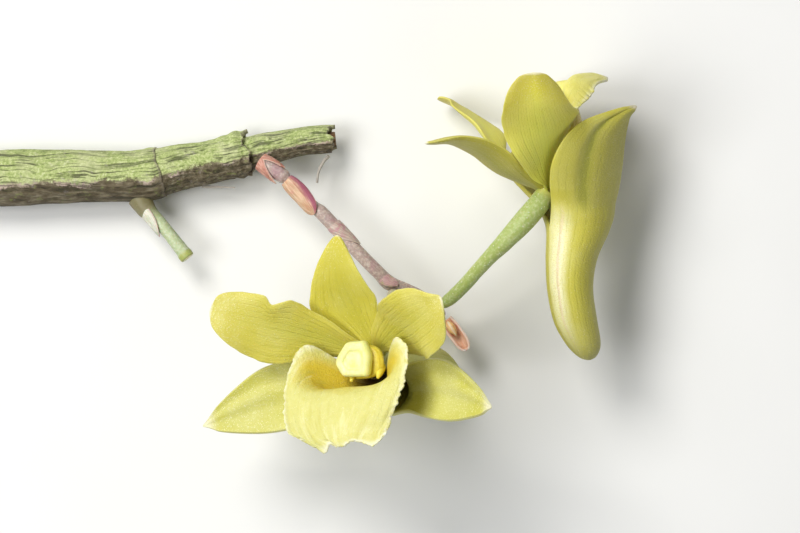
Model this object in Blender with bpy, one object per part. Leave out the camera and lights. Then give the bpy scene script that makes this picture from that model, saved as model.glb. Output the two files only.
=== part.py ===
"""Dendrobium cerinum: a cut piece of old cane with a stalk of two yellow flowers, lying on a surface.

Lengths are in millimetres and become metres when a mesh is made. X runs along the cane towards the
flowers, Y across it, Z up from the surface. Paths are measured from under the cane's first node, and
the finished piece has its origin where the lower sheath rests.
A flower's own directions are right, dorsal and forward, from its junction with the ovary.
"""

import math

import bmesh
import bpy
import numpy as np

MM = 0.001
REST = (-24.0, -0.7, 0.0)
BLADE = 0.7
THIN_BRACT = 0.5

CANE_PATH = [
    (-36.0, -0.9, 3.8),
    (-21.2, -0.6, 3.8),
    (-10.0, -0.4, 3.8),
    (0.0, -0.1, 3.85),
    (4.2, 0.9, 3.9),
    (8.5, 1.6, 4.0),
    (12.7, 2.7, 4.1),
    (16.9, 3.6, 4.2),
    (21.2, 4.5, 4.3),
    (26.2, 5.0, 4.4),
]
CANE_RADIUS = [(-36.0, 2.8), (-5.0, 2.6), (0.0, 2.3), (4.0, 2.05), (10.5, 2.0), (12.6, 1.1), (26.2, 0.95)]
SHEATH_WALL = 0.6
LOWER_SHEATH = [(-36.0, 4.0), (-21.0, 4.02), (-12.0, 3.8), (-4.0, 3.6), (-1.2, 3.62), (0.3, 3.7)]
MIDDLE_SHEATH = [(1.3, 3.4), (2.5, 3.3), (6.0, 3.15), (9.5, 3.05), (11.5, 3.2), (12.8, 3.3), (13.8, 3.2)]
UPPER_SHEATH = [(13.1, 2.1), (15.5, 2.35), (18.0, 2.15), (21.0, 2.0), (23.5, 2.05), (25.6, 1.95)]

STUB_PATH = [(-0.6, -4.9, 4.2), (1.0, -6.5, 4.7), (2.4, -8.1, 5.0), (5.4, -11.9, 5.5)]
FIBRE_PATH = [
    (25.2, 2.5, 4.2),
    (24.4, 1.5, 5.0),
    (23.8, 0.2, 5.3),
    (23.6, -1.3, 5.0),
]
SPLINTER_PATH = [(7.0, -2.5, 3.6), (9.0, -2.05, 3.7), (11.0, -1.6, 3.9)]

RACHIS_PATH = [
    (15.6, 1.7, 7.3),
    (17.0, 0.8, 7.6),
    (19.0, -0.5, 7.6),
    (21.7, -3.2, 7.5),
    (24.9, -6.2, 7.4),
    (27.0, -8.5, 7.4),
    (30.4, -12.1, 7.3),
    (32.5, -14.2, 7.2),
    (33.6, -15.3, 7.0),
    (35.6, -16.1, 6.9),
    (38.1, -17.2, 6.7),
    (40.5, -19.1, 6.4),
    (41.4, -20.1, 6.2),
]
RACHIS_RADIUS = [
    (0.0, 0.85), (0.05, 0.95), (0.12, 0.92), (0.135, 0.62), (0.32, 0.62), (0.37, 0.74), (0.42, 0.54),
    (0.56, 0.54), (0.6, 0.76), (0.68, 0.75), (0.73, 1.0), (0.78, 0.78), (0.9, 0.76), (0.95, 0.95), (1.0, 0.5),
]

SPATHE_PATH = [(19.35, -0.95, 7.55), (21.7, -3.2, 7.5), (22.7, -4.3, 7.5), (23.75, -5.3, 7.5)]
SMALL_SHEATH_PATH = [(25.9, -7.2, 7.4), (27.4, -8.9, 7.4), (29.0, -10.6, 7.35)]
FLORAL_BRACT_PATH = [(32.7, -14.4, 7.15), (33.6, -15.3, 7.0), (34.6, -15.7, 6.95)]
BASE_BRACT_PATH = [(15.7, 1.65, 7.3), (17.0, 0.8, 7.6), (18.3, -0.1, 7.6)]
SPOON_PATH = [(41.75, -20.5, 6.5), (42.4, -21.5, 6.7), (43.5, -23.0, 6.9), (44.7, -24.8, 7.2)]

FRONT_STALK = [(34.2, -16.9, 8.2), (34.8, -18.3, 12.0)]
SIDE_STALK = [(41.3, -18.4, 8.0), (42.8, -17.2, 9.6), (44.2, -15.8, 11), (47.1, -12.5, 13.4), (50.3, -9.15, 15.4)]
SCALE_PATH = [(42.0, -20.9, 6.9), (42.5, -21.7, 7.2), (43.2, -22.8, 7.45)]

FRONT_JUNCTION = (31.87, -24.83, 20.61)
FRONT_TURN = 28.0
FRONT_NOD = 4.0
FRONT_ROLL = 5.5
SIDE_JUNCTION = (55.83, -2.9, 14.54)
SIDE_FORWARD = (0.0, 0.994, -0.11)
SIDE_DORSAL = (-0.92, 0.043, 0.388)


def unit(vector):
    vector = np.asarray(vector, float)
    return vector / np.linalg.norm(vector)


def eased(keys, at):
    """A monotone cubic through (position, value) keys."""
    x, y = np.array(keys, float).T
    step = np.diff(x)
    slope = np.diff(y) / step
    tangent = np.zeros(len(x))
    tangent[0], tangent[-1] = slope[0], slope[-1]
    for i in range(1, len(x) - 1):
        if slope[i - 1] * slope[i] > 0:
            tangent[i] = 2 * slope[i - 1] * slope[i] / (slope[i - 1] + slope[i])
    i = np.clip(np.searchsorted(x, at, side="right") - 1, 0, len(step) - 1)
    t = np.clip((at - x[i]) / step[i], 0, 1)
    rise = y[i] * (2 * t**3 - 3 * t**2 + 1) + y[i + 1] * (3 * t**2 - 2 * t**3)
    return rise + step[i] * (tangent[i] * (t**3 - 2 * t**2 + t) + tangent[i + 1] * (t**3 - t**2))


def smooth(keys, values, at):
    """A smooth curve through values at rising keys."""
    keys, values, at = (np.array(v, float) for v in (keys, values, at))
    slope = np.gradient(values, keys, axis=0)
    i = np.clip(np.searchsorted(keys, at, side="right") - 1, 0, len(keys) - 2)
    step = (keys[i + 1] - keys[i])[:, None]
    t = (at - keys[i])[:, None] / step
    rise = values[i] * (2 * t**3 - 3 * t**2 + 1) + values[i + 1] * (3 * t**2 - 2 * t**3)
    return rise + step * (slope[i] * (t**3 - 2 * t**2 + t) + slope[i + 1] * (t**3 - t**2))


def curve(points, at):
    """A smooth curve through points, read at positions from 0 to 1 along its length."""
    points = np.array(points, float)
    length = np.r_[0, np.cumsum(np.linalg.norm(np.diff(points, axis=0), axis=1))]
    return smooth(length / length[-1], points, at)


def between(stations, at):
    """The numbers of evenly spaced stations, read smoothly at positions from 0 to 1."""
    flat = [np.hstack(station) for station in stations]
    return smooth(np.linspace(0, 1, len(stations)), flat, at)


def tangents(line):
    return np.array([unit(step) for step in np.gradient(line, axis=0)])


def material(name, colour, roughness):
    found = bpy.data.materials.new(name)
    found.use_nodes = True
    shader = found.node_tree.nodes["Principled BSDF"]
    shader.inputs["Base Color"].default_value = (*colour, 1)
    shader.inputs["Roughness"].default_value = roughness
    shader.inputs["Metallic"].default_value = 0
    found.diffuse_color = (*colour, 1)
    return found


def solid(name, points, faces, look):
    """One closed mesh object, its faces split to triangles and facing out."""
    mesh = bpy.data.meshes.new(name)
    mesh.from_pydata([tuple(point) for point in (np.asarray(points) - REST) * MM], [], [tuple(f) for f in faces])
    shape = bmesh.new()
    shape.from_mesh(mesh)
    bmesh.ops.triangulate(shape, faces=shape.faces[:])
    bmesh.ops.recalc_face_normals(shape, faces=shape.faces[:])
    if shape.calc_volume(signed=True) < 0:
        bmesh.ops.reverse_faces(shape, faces=shape.faces[:])
    shape.to_mesh(mesh)
    shape.free()
    mesh.materials.append(look)
    for face in mesh.polygons:
        face.use_smooth = True
    made = bpy.data.objects.new(name, mesh)
    bpy.context.scene.collection.objects.link(made)
    return made


def grid_triangles(rows, cols):
    """Triangles of a grid of points, row by row."""
    found = []
    for i in range(rows - 1):
        for j in range(cols - 1):
            a = i * cols + j
            b, c, d = a + 1, a + cols + 1, a + cols
            found += [(a, b, c), (a, c, d)] if (i + j) % 2 else [(a, b, d), (b, c, d)]
    return found


def thickened(points, triangles, thickness):
    """An open sheet made solid: both faces are split alike, and a wall closes the rim."""
    points = np.array(points, float)
    normal = np.zeros_like(points)
    for a, b, c in triangles:
        way = np.cross(points[b] - points[a], points[c] - points[a])
        for corner in (a, b, c):
            normal[corner] += way
    normal /= np.linalg.norm(normal, axis=1)[:, None]
    count = len(points)
    half = np.broadcast_to(np.asarray(thickness, float) / 2, (count,))[:, None]
    both = np.vstack([points + normal * half, points - normal * half])
    faces = [tuple(t) for t in triangles]
    faces += [(a + count, c + count, b + count) for a, b, c in triangles]
    edges = {}
    for a, b, c in triangles:
        for pair in ((a, b), (b, c), (c, a)):
            if pair[::-1] in edges:
                del edges[pair[::-1]]
            else:
                edges[pair] = True
    for a, b in edges:
        faces += [(b, a, a + count), (b, a + count, b + count)]
    return both, faces


def welded(points, triangles):
    """Points that fall together made one."""
    keys = np.round(np.array(points) * 1000).astype(int)
    _, first, index = np.unique(keys, axis=0, return_index=True, return_inverse=True)
    index = index.reshape(-1)
    kept = [tuple(int(index[i]) for i in t) for t in triangles]
    return np.array(points)[first], [t for t in kept if len(set(t)) == 3]


def ring_frames(line):
    """Two directions across a path at each of its points: one as near up as can be, one level."""
    up = []
    for along in tangents(line):
        level = np.cross(along, (0, 0, 1))
        up.append(np.cross(unit(level), along))
    up = np.array(up)
    return up, np.cross(tangents(line), up)


def rod(name, line, radii, sides, look, uneven=None):
    """A closed rod along a path. uneven(i, angles) gives a factor on each ring's radius."""
    up, level = ring_frames(line)
    angles = np.linspace(0, 2 * math.pi, sides, endpoint=False)
    points = []
    for i, centre in enumerate(line):
        radius = radii[i] * (uneven(i, angles) if uneven else np.ones(sides))
        for angle, r in zip(angles, radius):
            points.append(centre + r * (math.cos(angle) * up[i] + math.sin(angle) * level[i]))
    faces = []
    for i in range(len(line) - 1):
        for j in range(sides):
            k = (j + 1) % sides
            faces.append((i * sides + j, i * sides + k, (i + 1) * sides + k, (i + 1) * sides + j))
    start, end = len(points), len(points) + 1
    points += [line[0], line[-1]]
    last = (len(line) - 1) * sides
    for j in range(sides):
        k = (j + 1) % sides
        faces.append((start, k, j))
        faces.append((end, last + j, last + k))
    return solid(name, points, faces, look)


def along_cane(x):
    """The cane's axis at distances x along it."""
    path = curve(CANE_PATH, np.linspace(0, 1, 200))
    y, z = (np.interp(x, path[:, 0], path[:, axis]) for axis in (1, 2))
    return np.column_stack([x, y, z])


def ribbed(x, angle, depth):
    """Shallow lengthwise ridges that drift round the cane."""
    ridges = 0.5 * math.cos(4 * angle + 0.05 * x) + 0.5 * math.cos(7 * angle - 1.3 + 0.08 * x)
    return 1 + depth * ridges


def sheath(name, keys, rows, look, ragged=(0.0, 0.0), wrinkle=(0.0, 1.0, 0.0), depth=0.02):
    """A dry leaf sheath: a tube round the cane with uneven ends."""
    sides = 18
    start, end = keys[0][0], keys[-1][0]
    x = np.linspace(start, end, rows)
    line = along_cane(x)
    up, level = ring_frames(line)
    amount, spacing, centre = wrinkle
    outer, inner = [], []
    for i in range(rows):
        share = i / (rows - 1)
        for j in range(sides):
            angle = 2 * math.pi * (j + 0.5) / sides
            tooth = math.sin(3 * angle + 0.7) + 0.6 * math.sin(8 * angle + 1.9)
            shift = ragged[0] * tooth * (1 - share) ** 4 + ragged[1] * tooth * share**4
            fold = amount * math.sin(2 * math.pi * x[i] / spacing + 1.5 * math.sin(2 * angle))
            fold *= math.exp(-(((x[i] - centre) / 2.2) ** 2))
            radius = eased(keys, x[i]) * ribbed(x[i], angle, depth) + fold
            way = math.cos(angle) * up[i] + math.sin(angle) * level[i]
            middle = line[i] + shift * tangents(line)[i]
            outer.append(middle + radius * way)
            inner.append(middle + (radius - SHEATH_WALL) * way)
    points = np.array(outer + inner)
    flat = (points[:, 2] < 0.0) & (np.arange(len(points)) < rows * sides)
    points[flat, 2] = 0.0
    half = rows * sides
    faces = []
    for i in range(rows - 1):
        for j in range(sides):
            a, b = i * sides + j, i * sides + (j + 1) % sides
            c, d = b + sides, a + sides
            faces += [(a, b, c), (a, c, d), (half + a, half + c, half + b), (half + a, half + d, half + c)]
    for row in (0, rows - 1):
        for j in range(sides):
            a, b = row * sides + j, row * sides + (j + 1) % sides
            faces += [(a, b, half + b), (a, half + b, half + a)]
    return solid(name, points, faces, look)


def clasp(name, path, radius, turn, cover, look, rows=9, cols=8, ragged=0.0, thickness=THIN_BRACT):
    """A bract that clasps a stalk: radius and half-angle of cover are keys along its length."""
    at = np.linspace(0, 1, rows)
    line = curve(path, at)
    up, level = ring_frames(line)
    along = tangents(line)
    middle = math.radians(turn)
    points = []
    for i in range(rows):
        half = math.radians(float(eased(cover, at[i])))
        r = float(eased(radius, at[i]))
        for j in range(cols):
            angle = middle + half * (2 * j / (cols - 1) - 1)
            tooth = ragged * at[i] ** 3 * (1 if j % 2 else -1)
            way = math.cos(angle) * up[i] + math.sin(angle) * level[i]
            points.append(line[i] + tooth * along[i] + r * way)
    both, faces = thickened(points, grid_triangles(rows, cols), thickness)
    return solid(name, both, faces, look)


class Flower:
    """A flower's place: its junction and its right, dorsal and forward directions."""

    def __init__(self, prefix, junction, forward, dorsal):
        self.prefix = prefix
        self.junction = np.array(junction, float)
        self.forward = unit(forward)
        self.right = unit(np.cross(dorsal, self.forward))
        self.dorsal = np.cross(self.forward, self.right)

    def place(self, points):
        turn = np.array([self.right, self.dorsal, self.forward])
        return self.junction + np.asarray(points, float) @ turn

    def add(self, name, points, triangles, look, thickness=BLADE):
        both, faces = thickened(self.place(points), triangles, thickness)
        return solid(self.prefix + name, both, faces, look)


def blade(spine, face, right, left, rows, cols, cup=0.0, fold=0.0, wave=0.0, turns=2.0, back=0.0):
    """Mid-surface of a petal or sepal, in the flower's directions.

    right and left are half-widths along the length, cup lifts the edges towards the face, fold
    makes a groove along the middle, wave ruffles the edges and back curls the tip away.
    """
    at = 1 - (1 - np.linspace(0, 1, rows)) ** 1.25
    line = curve(spine, at)
    along = tangents(line)
    points = []
    for i in range(rows):
        facing = np.array(face[0]) * (1 - at[i]) + np.array(face[-1]) * at[i]
        side = unit(np.cross(along[i], facing))
        rise = np.cross(side, along[i])
        for j in range(cols):
            v = 2 * j / (cols - 1) - 1
            half = float(eased(right if v > 0 else left, at[i]))
            swell = math.sin(math.pi * min(1.0, at[i] * 1.05))
            height = cup * v * v * swell + fold * abs(v) * swell
            height += wave * v * v * math.sin(2 * math.pi * turns * at[i] + (0.6 if v > 0 else 2.4))
            height *= min(1.0, half / 3.0)
            points.append(line[i] + v * half * side + (height - back * at[i] ** 3) * rise)
    return np.array(points), grid_triangles(rows, cols)


def lateral_pair(stations, shifts, rows, cols):
    """Mid-surface of the two lateral sepals, grown together into the spur.

    A station holds one side's dorsal edge and ventral edge, its outward swell, and how blade-like
    the section is: 0 is half a ring, 1 a shallow arc. Towards its tip a side's blade is shifted, and
    its top edge drops.
    """
    at = np.linspace(0, 1, rows)
    read = between(stations, at)
    middle = (read[:, :3] + read[:, 3:6]) / 2
    chord = read[:, :3] - read[:, 3:6]
    along = np.gradient(middle, axis=0)
    outward = np.cross(chord, along)
    outward /= np.maximum(np.linalg.norm(outward, axis=1), 1e-6)[:, None]
    for _ in range(3):
        outward[1:-1] = (outward[:-2] + 2 * outward[1:-1] + outward[2:]) / 4
    points, triangles = [], []
    for sign, (shift, drop) in ((1, shifts[0]), (-1, shifts[1])):
        start = len(points)
        for i in range(rows):
            swell, flat = read[i, 6:]
            out = outward[i]
            share = max(0.0, (at[i] - 0.55) / 0.45)
            lean = np.array(shift) * share**1.5
            droop = drop * math.sin(math.pi * share**0.8)
            for j in range(cols):
                angle = math.pi * j / (cols - 1)
                arc = (1 - flat) * math.sin(angle) + flat * math.sin(angle) ** 2
                p = middle[i] + chord[i] / 2 * math.cos(angle) + out * swell * arc + lean
                p[0] = 0.0 if p[0] < 0.06 else p[0]
                p[1] -= droop * (1 + math.cos(angle)) / 2
                points.append(p * (sign, 1, 1))
        part = [(a + start, b + start, c + start) for a, b, c in grid_triangles(rows, cols)]
        triangles += part if sign > 0 else [(a, c, b) for a, b, c in part]
    return welded(points, triangles)


def lip_sheet(form, rows, cols):
    """Mid-surface of the lip: a trough whose rim turns out into a broad toothed front.

    A station holds the middle line, the knee where the wall turns, and the rim.
    """
    at = np.linspace(0, 1, rows)
    read = between(form["lip"], at)
    across = np.linspace(-1, 1, cols)
    points = []
    for i in range(rows):
        middle, knee, rim = read[i, :3], read[i, 3:6], read[i, 6:]
        mirror = np.array((-1, 1, 1))
        section = smooth([-1, -0.62, 0, 0.62, 1], [rim * mirror, knee * mirror, middle, knee, rim], across)
        near_front = max(0.0, (at[i] - 0.8) / 0.2) ** 2
        jag = form["tooth"] * (1 if i % 2 else -1) * min(1.0, max(0.0, (at[i] - 0.35) * 6))
        section[0, 0] -= jag
        section[-1, 0] += jag
        section[:, 0] += form["lip_shift"] * min(1.0, max(0.0, at[i] * 2 - 0.6))
        drop = form["right_drop"] * math.exp(-(((at[i] - 0.2) / 0.1) ** 2))
        section[:, 1] -= drop * np.clip(across, 0, 1) ** 2
        section[:, 1] -= near_front * eased(form["apex"], across)
        section[:, 0] += near_front * form["tip_shift"]
        trim = form["right_trim"] * math.exp(-(((at[i] - 0.86) / 0.09) ** 2))
        spread = form["right_spread"] * math.exp(-(((at[i] - 0.45) / 0.2) ** 2))
        section[:, 0] += (spread - trim) * np.clip(across, 0, 1) ** 2
        points += list(section)
    return np.array(points), grid_triangles(rows, cols)


def rings(name, flower, sections, sides, look):
    """A closed body through rings: each holds a centre, a direction, half-width, half-height and squareness."""
    points = []
    for centre, way, wide, high, square in sections:
        way = unit(way)
        across = np.array((1.0, 0.0, 0.0))
        upward = np.cross(way, across)
        for j in range(sides):
            angle = 2 * math.pi * (j + 0.5) / sides
            c, s = math.cos(angle), math.sin(angle)
            grow = (abs(c) ** square + abs(s) ** square) ** (-1 / square)
            points.append(np.array(centre) + across * wide * c * grow + upward * high * s * grow)
    count = len(sections)
    faces = []
    for i in range(count - 1):
        for j in range(sides):
            k = (j + 1) % sides
            faces.append((i * sides + j, i * sides + k, (i + 1) * sides + k, (i + 1) * sides + j))
    points.append(np.mean(points[:sides], axis=0))
    points.append(np.mean(points[(count - 1) * sides : count * sides], axis=0))
    start, end, last = count * sides, count * sides + 1, (count - 1) * sides
    for j in range(sides):
        k = (j + 1) % sides
        faces.append((start, k, j))
        faces.append((end, last + j, last + k))
    return solid(flower.prefix + name, flower.place(points), faces, look)


SPUR = [
    ((0, -6.1, -22.9), (0, -6.1, -22.9), 0.0, 0.0),
    ((0, -4.7, -22.3), (0, -7.1, -22.2), 1.1, 0.0),
    ((0, -3.0, -20.6), (0, -7.5, -20.6), 1.8, 0.0),
    ((0, -1.3, -17.7), (0, -6.9, -17.3), 2.2, 0.0),
    ((0, -0.4, -13.5), (0, -6.3, -13.1), 2.5, 0.0),
    ((0, -0.2, -9.2), (0, -6.9, -9.0), 2.9, 0.0),
    ((0, -0.3, -5.0), (0, -8.6, -5.2), 3.45, 0.0),
]

FRONT_FORM = {
    "dorsal": [(0, 1.9, 1.0), (-1.2, 6.6, 2.7), (-1.35, 11.4, 5.0), (-0.4, 16.6, 6.3)],
    "dorsal_right": [
        (0, 2.2), (0.1, 2.9), (0.2, 3.4), (0.3, 4.1), (0.4, 4.4), (0.5, 4.1), (0.7, 3.15), (0.9, 1.4),
        (1, 0.3),
    ],
    "dorsal_left": [
        (0, 2.2), (0.1, 3.2), (0.2, 4.6), (0.32, 6.2), (0.4, 6.1), (0.5, 5.3), (0.6, 4.4), (0.7, 3.45),
        (0.8, 2.55), (0.9, 1.65), (1, 0.4),
    ],
    "left_petal": [(-2.3, 1.0, 1.7), (-6.4, 3.4, 4.7), (-12.0, 5.9, 8.6), (-18.4, 8.1, 12.0)],
    "left_face": [(0.2, -0.45, 1.0), (0.35, 0.0, 1.0)],
    "left_upper": [
        (0, 1.3), (0.2, 2.6), (0.35, 3.2), (0.43, 3.8), (0.49, 4.1), (0.55, 3.4), (0.61, 2.7),
        (0.66, 3.7), (0.76, 3.5), (0.9, 3.0), (0.97, 2.2), (1, 0.9),
    ],
    "left_lower": [
        (0, 1.5), (0.1, 2.6), (0.2, 3.5), (0.4, 4.9), (0.56, 5.7), (0.7, 5.3), (0.8, 4.5), (0.9, 3.3),
        (0.97, 2.0), (1, 0.9),
    ],
    "right_petal": [(2.3, 1.0, 1.7), (6.5, 2.8, 4.9), (11.6, 4.2, 9.2), (18.3, 4.8, 13.8)],
    "right_face": [(-0.2, -0.6, 1.0), (-0.35, 0.0, 1.0)],
    "right_upper": [
        (0, 2.0), (0.07, 2.8), (0.15, 3.3), (0.24, 3.7), (0.36, 4.2), (0.61, 4.6), (0.8, 4.2), (0.94, 3.0),
        (1, 1.4),
    ],
    "right_lower": [(0, 1.3), (0.2, 3.0), (0.44, 4.8), (0.74, 5.2), (0.88, 4.4), (0.95, 3.4), (1, 1.6)],
    "lateral": SPUR
    + [
        ((0, -1.6, -2.0), (0, -8.9, -2.0), 3.9, 0.1),
        ((2.0, -1.8, -0.2), (2.4, -8.6, 0.0), 3.1, 0.35),
        ((5.4, -1.0, 1.2), (5.6, -8.5, 2.0), 1.8, 0.7),
        ((10.0, -0.3, 3.2), (9.6, -9.4, 4.0), 1.4, 1.0),
        ((14.4, -1.1, 5.0), (14.0, -10.0, 5.6), 1.0, 1.0),
        ((18.6, -4.2, 6.6), (18.4, -9.7, 7.0), 0.5, 1.0),
        ((22.4, -8.1, 8.0), (22.2, -9.0, 8.0), 0.0, 1.0),
    ],
    "lateral_shifts": [((-1.2, 0.2, 0.0), 1.2), ((1.6, 0.7, 0.0), 0.0)],
    "lip": [
        ((0, -3.4, -7.0), (1.0, -3.2, -7.0), (1.6, -2.6, -7.0)),
        ((0, -5.4, -2.2), (1.6, -4.9, -2.2), (1.8, -3.7, -2.2)),
        ((0, -6.2, 2.4), (2.9, -4.4, 2.3), (3.1, -1.6, 2.2)),
        ((0, -5.6, 6.4), (5.2, -3.2, 6.2), (6.5, 2.0, 6.2)),
        ((0, -4.2, 9.3), (6.0, -2.4, 8.7), (8.4, 0.8, 7.8)),
        ((0, -5.0, 11.6), (6.2, -4.0, 11.0), (9.1, -2.6, 9.8)),
        ((0, -7.8, 13.4), (5.8, -7.2, 12.9), (9.0, -5.9, 11.5)),
        ((0, -10.0, 14.4), (4.4, -10.0, 14.0), (8.0, -9.6, 13.0)),
        ((0, -11.2, 15.0), (2.2, -11.4, 14.8), (4.6, -11.4, 14.2)),
    ],
    "lip_shift": 0.4,
    "right_spread": 0.7,
    "right_drop": 2.0,
    "tip_shift": 0.8,
    "right_trim": 0.8,
    "apex": [
        (-1, -1.0), (-0.88, -0.7), (-0.66, 1.0), (-0.42, -0.5), (-0.1, 0.3), (0.12, 0.1), (0.36, -0.6),
        (0.62, -0.1), (0.82, 0.7), (0.93, -0.4), (1, -1.2),
    ],
    "tooth": 0.18,
}

SIDE_FORM = {
    "dorsal": [(0, 1.9, 1.0), (0, 5.8, 2.4), (0, 10.0, 5.1), (0, 14.0, 6.4), (0, 18.6, 6.0)],
    "dorsal_right": [(0, 1.3), (0.15, 2.6), (0.4, 4.8), (0.56, 4.5), (0.74, 3.2), (0.9, 1.6), (1, 0.35)],
    "dorsal_left": [(0, 1.3), (0.15, 2.6), (0.4, 4.8), (0.56, 4.5), (0.74, 3.2), (0.9, 1.6), (1, 0.35)],
    "left_petal": [(-2.3, 1.2, 1.3), (-6.0, 3.3, 4.1), (-10.6, 5.9, 7.1), (-14.4, 8.3, 10.4), (-16.4, 9.5, 13.5)],
    "left_face": [(0.95, 0.33, 0.0), (0.435, -0.245, 0.858)],
    "left_upper": [
        (0, 0.9), (0.1, 2.3), (0.2, 3.2), (0.4, 4.4), (0.55, 5.0), (0.68, 5.15), (0.8, 4.6), (0.88, 4.0),
        (0.94, 3.3), (0.98, 2.3), (1, 1.4),
    ],
    "left_lower": [
        (0, 0.9), (0.1, 1.8), (0.2, 2.8), (0.3, 4.2), (0.42, 5.5), (0.6, 4.8), (0.8, 3.9), (0.88, 3.3),
        (0.94, 2.6), (0.98, 1.8), (1, 1.1),
    ],
    "right_petal": [(2.3, 1.1, 1.7), (5.6, 4.4, 5.9), (9.3, 5.8, 10.0), (12.93, 7.3, 13.2), (15.4, 9.9, 14.7)],
    "right_face": [(-0.43, -0.46, 0.77)] * 2,
    "right_upper": [(0, 0.9), (0.2, 3.5), (0.45, 5.1), (0.66, 5.0), (0.84, 4.1), (0.95, 2.6), (1, 0.9)],
    "right_lower": [(0, 0.7), (0.2, 1), (0.35, 2.2), (0.55, 4.2), (0.7, 4.9), (0.84, 4.2), (0.95, 2.6), (1, 0.9)],
    "lateral": SPUR
    + [
        ((0.3, -1.5, -2.4), (0, -9.5, -2.6), 3.6, 0.0),
        ((2.3, -0.4, -0.7), (1.0, -9.5, -0.6), 2.7, 0.1),
        ((4.4, 1.35, 1.2), (2.4, -9.5, 1.4), 2.0, 0.25),
        ((6.9, 2.0, 3.5), (4.2, -9.2, 4.0), 1.5, 0.5),
        ((8.8, 0.95, 6.5), (6.4, -8.6, 7.0), 1.0, 0.8),
        ((9.6, -1.4, 8.9), (8.0, -8.3, 9.0), 0.8, 1.0),
        ((10.0, -5.15, 10.6), (9.3, -8.2, 10.3), 0.3, 1.0),
        ((10.4, -8.2, 11.5), (10.3, -9.1, 11.2), 0.0, 1.0),
    ],
    "lateral_shifts": [((0, 0, 0), 0.0), ((0, 0, 0), 0.0)],
    "lip": [
        ((0, -3.4, -7.0), (1.0, -3.2, -7.0), (1.6, -2.6, -7.0)),
        ((0, -5.4, -2.2), (1.6, -4.9, -2.2), (1.8, -3.7, -2.2)),
        ((0, -6.0, 2.8), (2.8, -4.4, 2.6), (3.0, -1.6, 2.4)),
        ((0, -5.0, 7.4), (4.4, -2.8, 7.0), (4.9, 0.6, 6.6)),
        ((0, -3.9, 11.0), (6.0, -1.2, 10.8), (7.4, 1.0, 9.4)),
        ((0, -3.9, 13.6), (6.9, 0.4, 13.2), (9.0, -0.9, 11.0)),
        ((0, -4.8, 15.4), (6.4, -1.0, 15.1), (9.0, -2.6, 12.8)),
        ((0, -6.8, 16.3), (4.6, -4.2, 16.1), (7.0, -4.4, 14.6)),
        ((0, -8.6, 16.5), (2.4, -7.8, 16.3), (4.2, -7.2, 15.4)),
    ],
    "lip_shift": 0.0,
    "right_spread": 0.0,
    "right_drop": 0.0,
    "tip_shift": 0.0,
    "right_trim": 0.0,
    "apex": [(-1, 0.0), (-0.6, 0.3), (-0.2, -0.3), (0.1, 0.2), (0.5, -0.2), (0.8, 0.4), (1, 0.0)],
    "tooth": 0.18,
}


def build_flower(flower, form, looks):
    """The seven pieces of one flower."""
    sepal, petal, lip, column, cap = looks
    inward = [(0, -0.35, 1.0), (0, 0.1, 1.0)]
    edges = (form["dorsal_right"], form["dorsal_left"])
    flower.add("dorsal_sepal", *blade(form["dorsal"], inward, *edges, 13, 9, cup=0.4, fold=0.25), sepal)
    shape = dict(cup=0.3, fold=0.2, wave=0.45)
    edges = (form["left_upper"], form["left_lower"])
    flower.add("petal_left", *blade(form["left_petal"], form["left_face"], *edges, 21, 9, **shape), petal)
    edges = (form["right_lower"], form["right_upper"])
    flower.add("petal_right", *blade(form["right_petal"], form["right_face"], *edges, 15, 9, **shape), petal)
    flower.add("lateral_sepals", *lateral_pair(form["lateral"], form["lateral_shifts"], 26, 8), sepal)
    flower.add("lip", *lip_sheet(form, 21, 13), lip)
    rings(
        "column",
        flower,
        [
            ((0, -0.2, 0.3), (0, -0.66, 0.75), 1.35, 1.35, 2.0),
            ((0, -0.5, 1.4), (0, -0.3, 1.0), 1.6, 1.5, 2.2),
            ((0, -0.7, 3.0), (0, 0.0, 1.0), 2.1, 1.8, 2.5),
            ((0, -0.8, 4.4), (0, 0.0, 1.0), 2.5, 2.1, 2.6),
            ((0, -0.8, 5.0), (0, 0.0, 1.0), 2.3, 2.0, 2.6),
        ],
        16,
        column,
    )
    rings(
        "anther_cap",
        flower,
        [
            ((0.0, -0.5, 5.35), (0, 0.05, 1.0), 2.3, 2.3, 3.0),
            ((0.0, -0.5, 6.1), (0, 0.05, 1.0), 2.4, 2.4, 3.2),
            ((0.0, -0.5, 6.9), (0, 0.05, 1.0), 1.8, 1.8, 3.0),
            ((0.0, -0.5, 7.2), (0, 0.05, 1.0), 0.9, 0.9, 2.4),
        ],
        12,
        cap,
    )


def front_place():
    turn, nod, roll = (math.radians(v) for v in (FRONT_TURN, FRONT_NOD, FRONT_ROLL))
    forward = (-math.sin(turn) * math.cos(nod), -math.sin(nod), math.cos(turn) * math.cos(nod))
    return Flower("front_", FRONT_JUNCTION, forward, (-math.sin(roll), math.cos(roll), 0.0))


def pedicel(name, flower, start, look, sides=12):
    """A green stalk that widens into the ovary and meets the flower from behind its dorsal side."""
    end = flower.place([(0, 0.2, -0.2)])[0]
    behind = flower.place([(0, 2.84, -3.2)])[0]
    path = [*start, behind, end]
    at = np.linspace(0, 1, 15)
    width = [(0, 0.95), (0.4, 0.98), (0.6, 1.25), (0.8, 1.52), (1, 1.5)]
    return rod(name, curve(path, at), [float(eased(width, v)) for v in at], sides, look)


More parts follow.
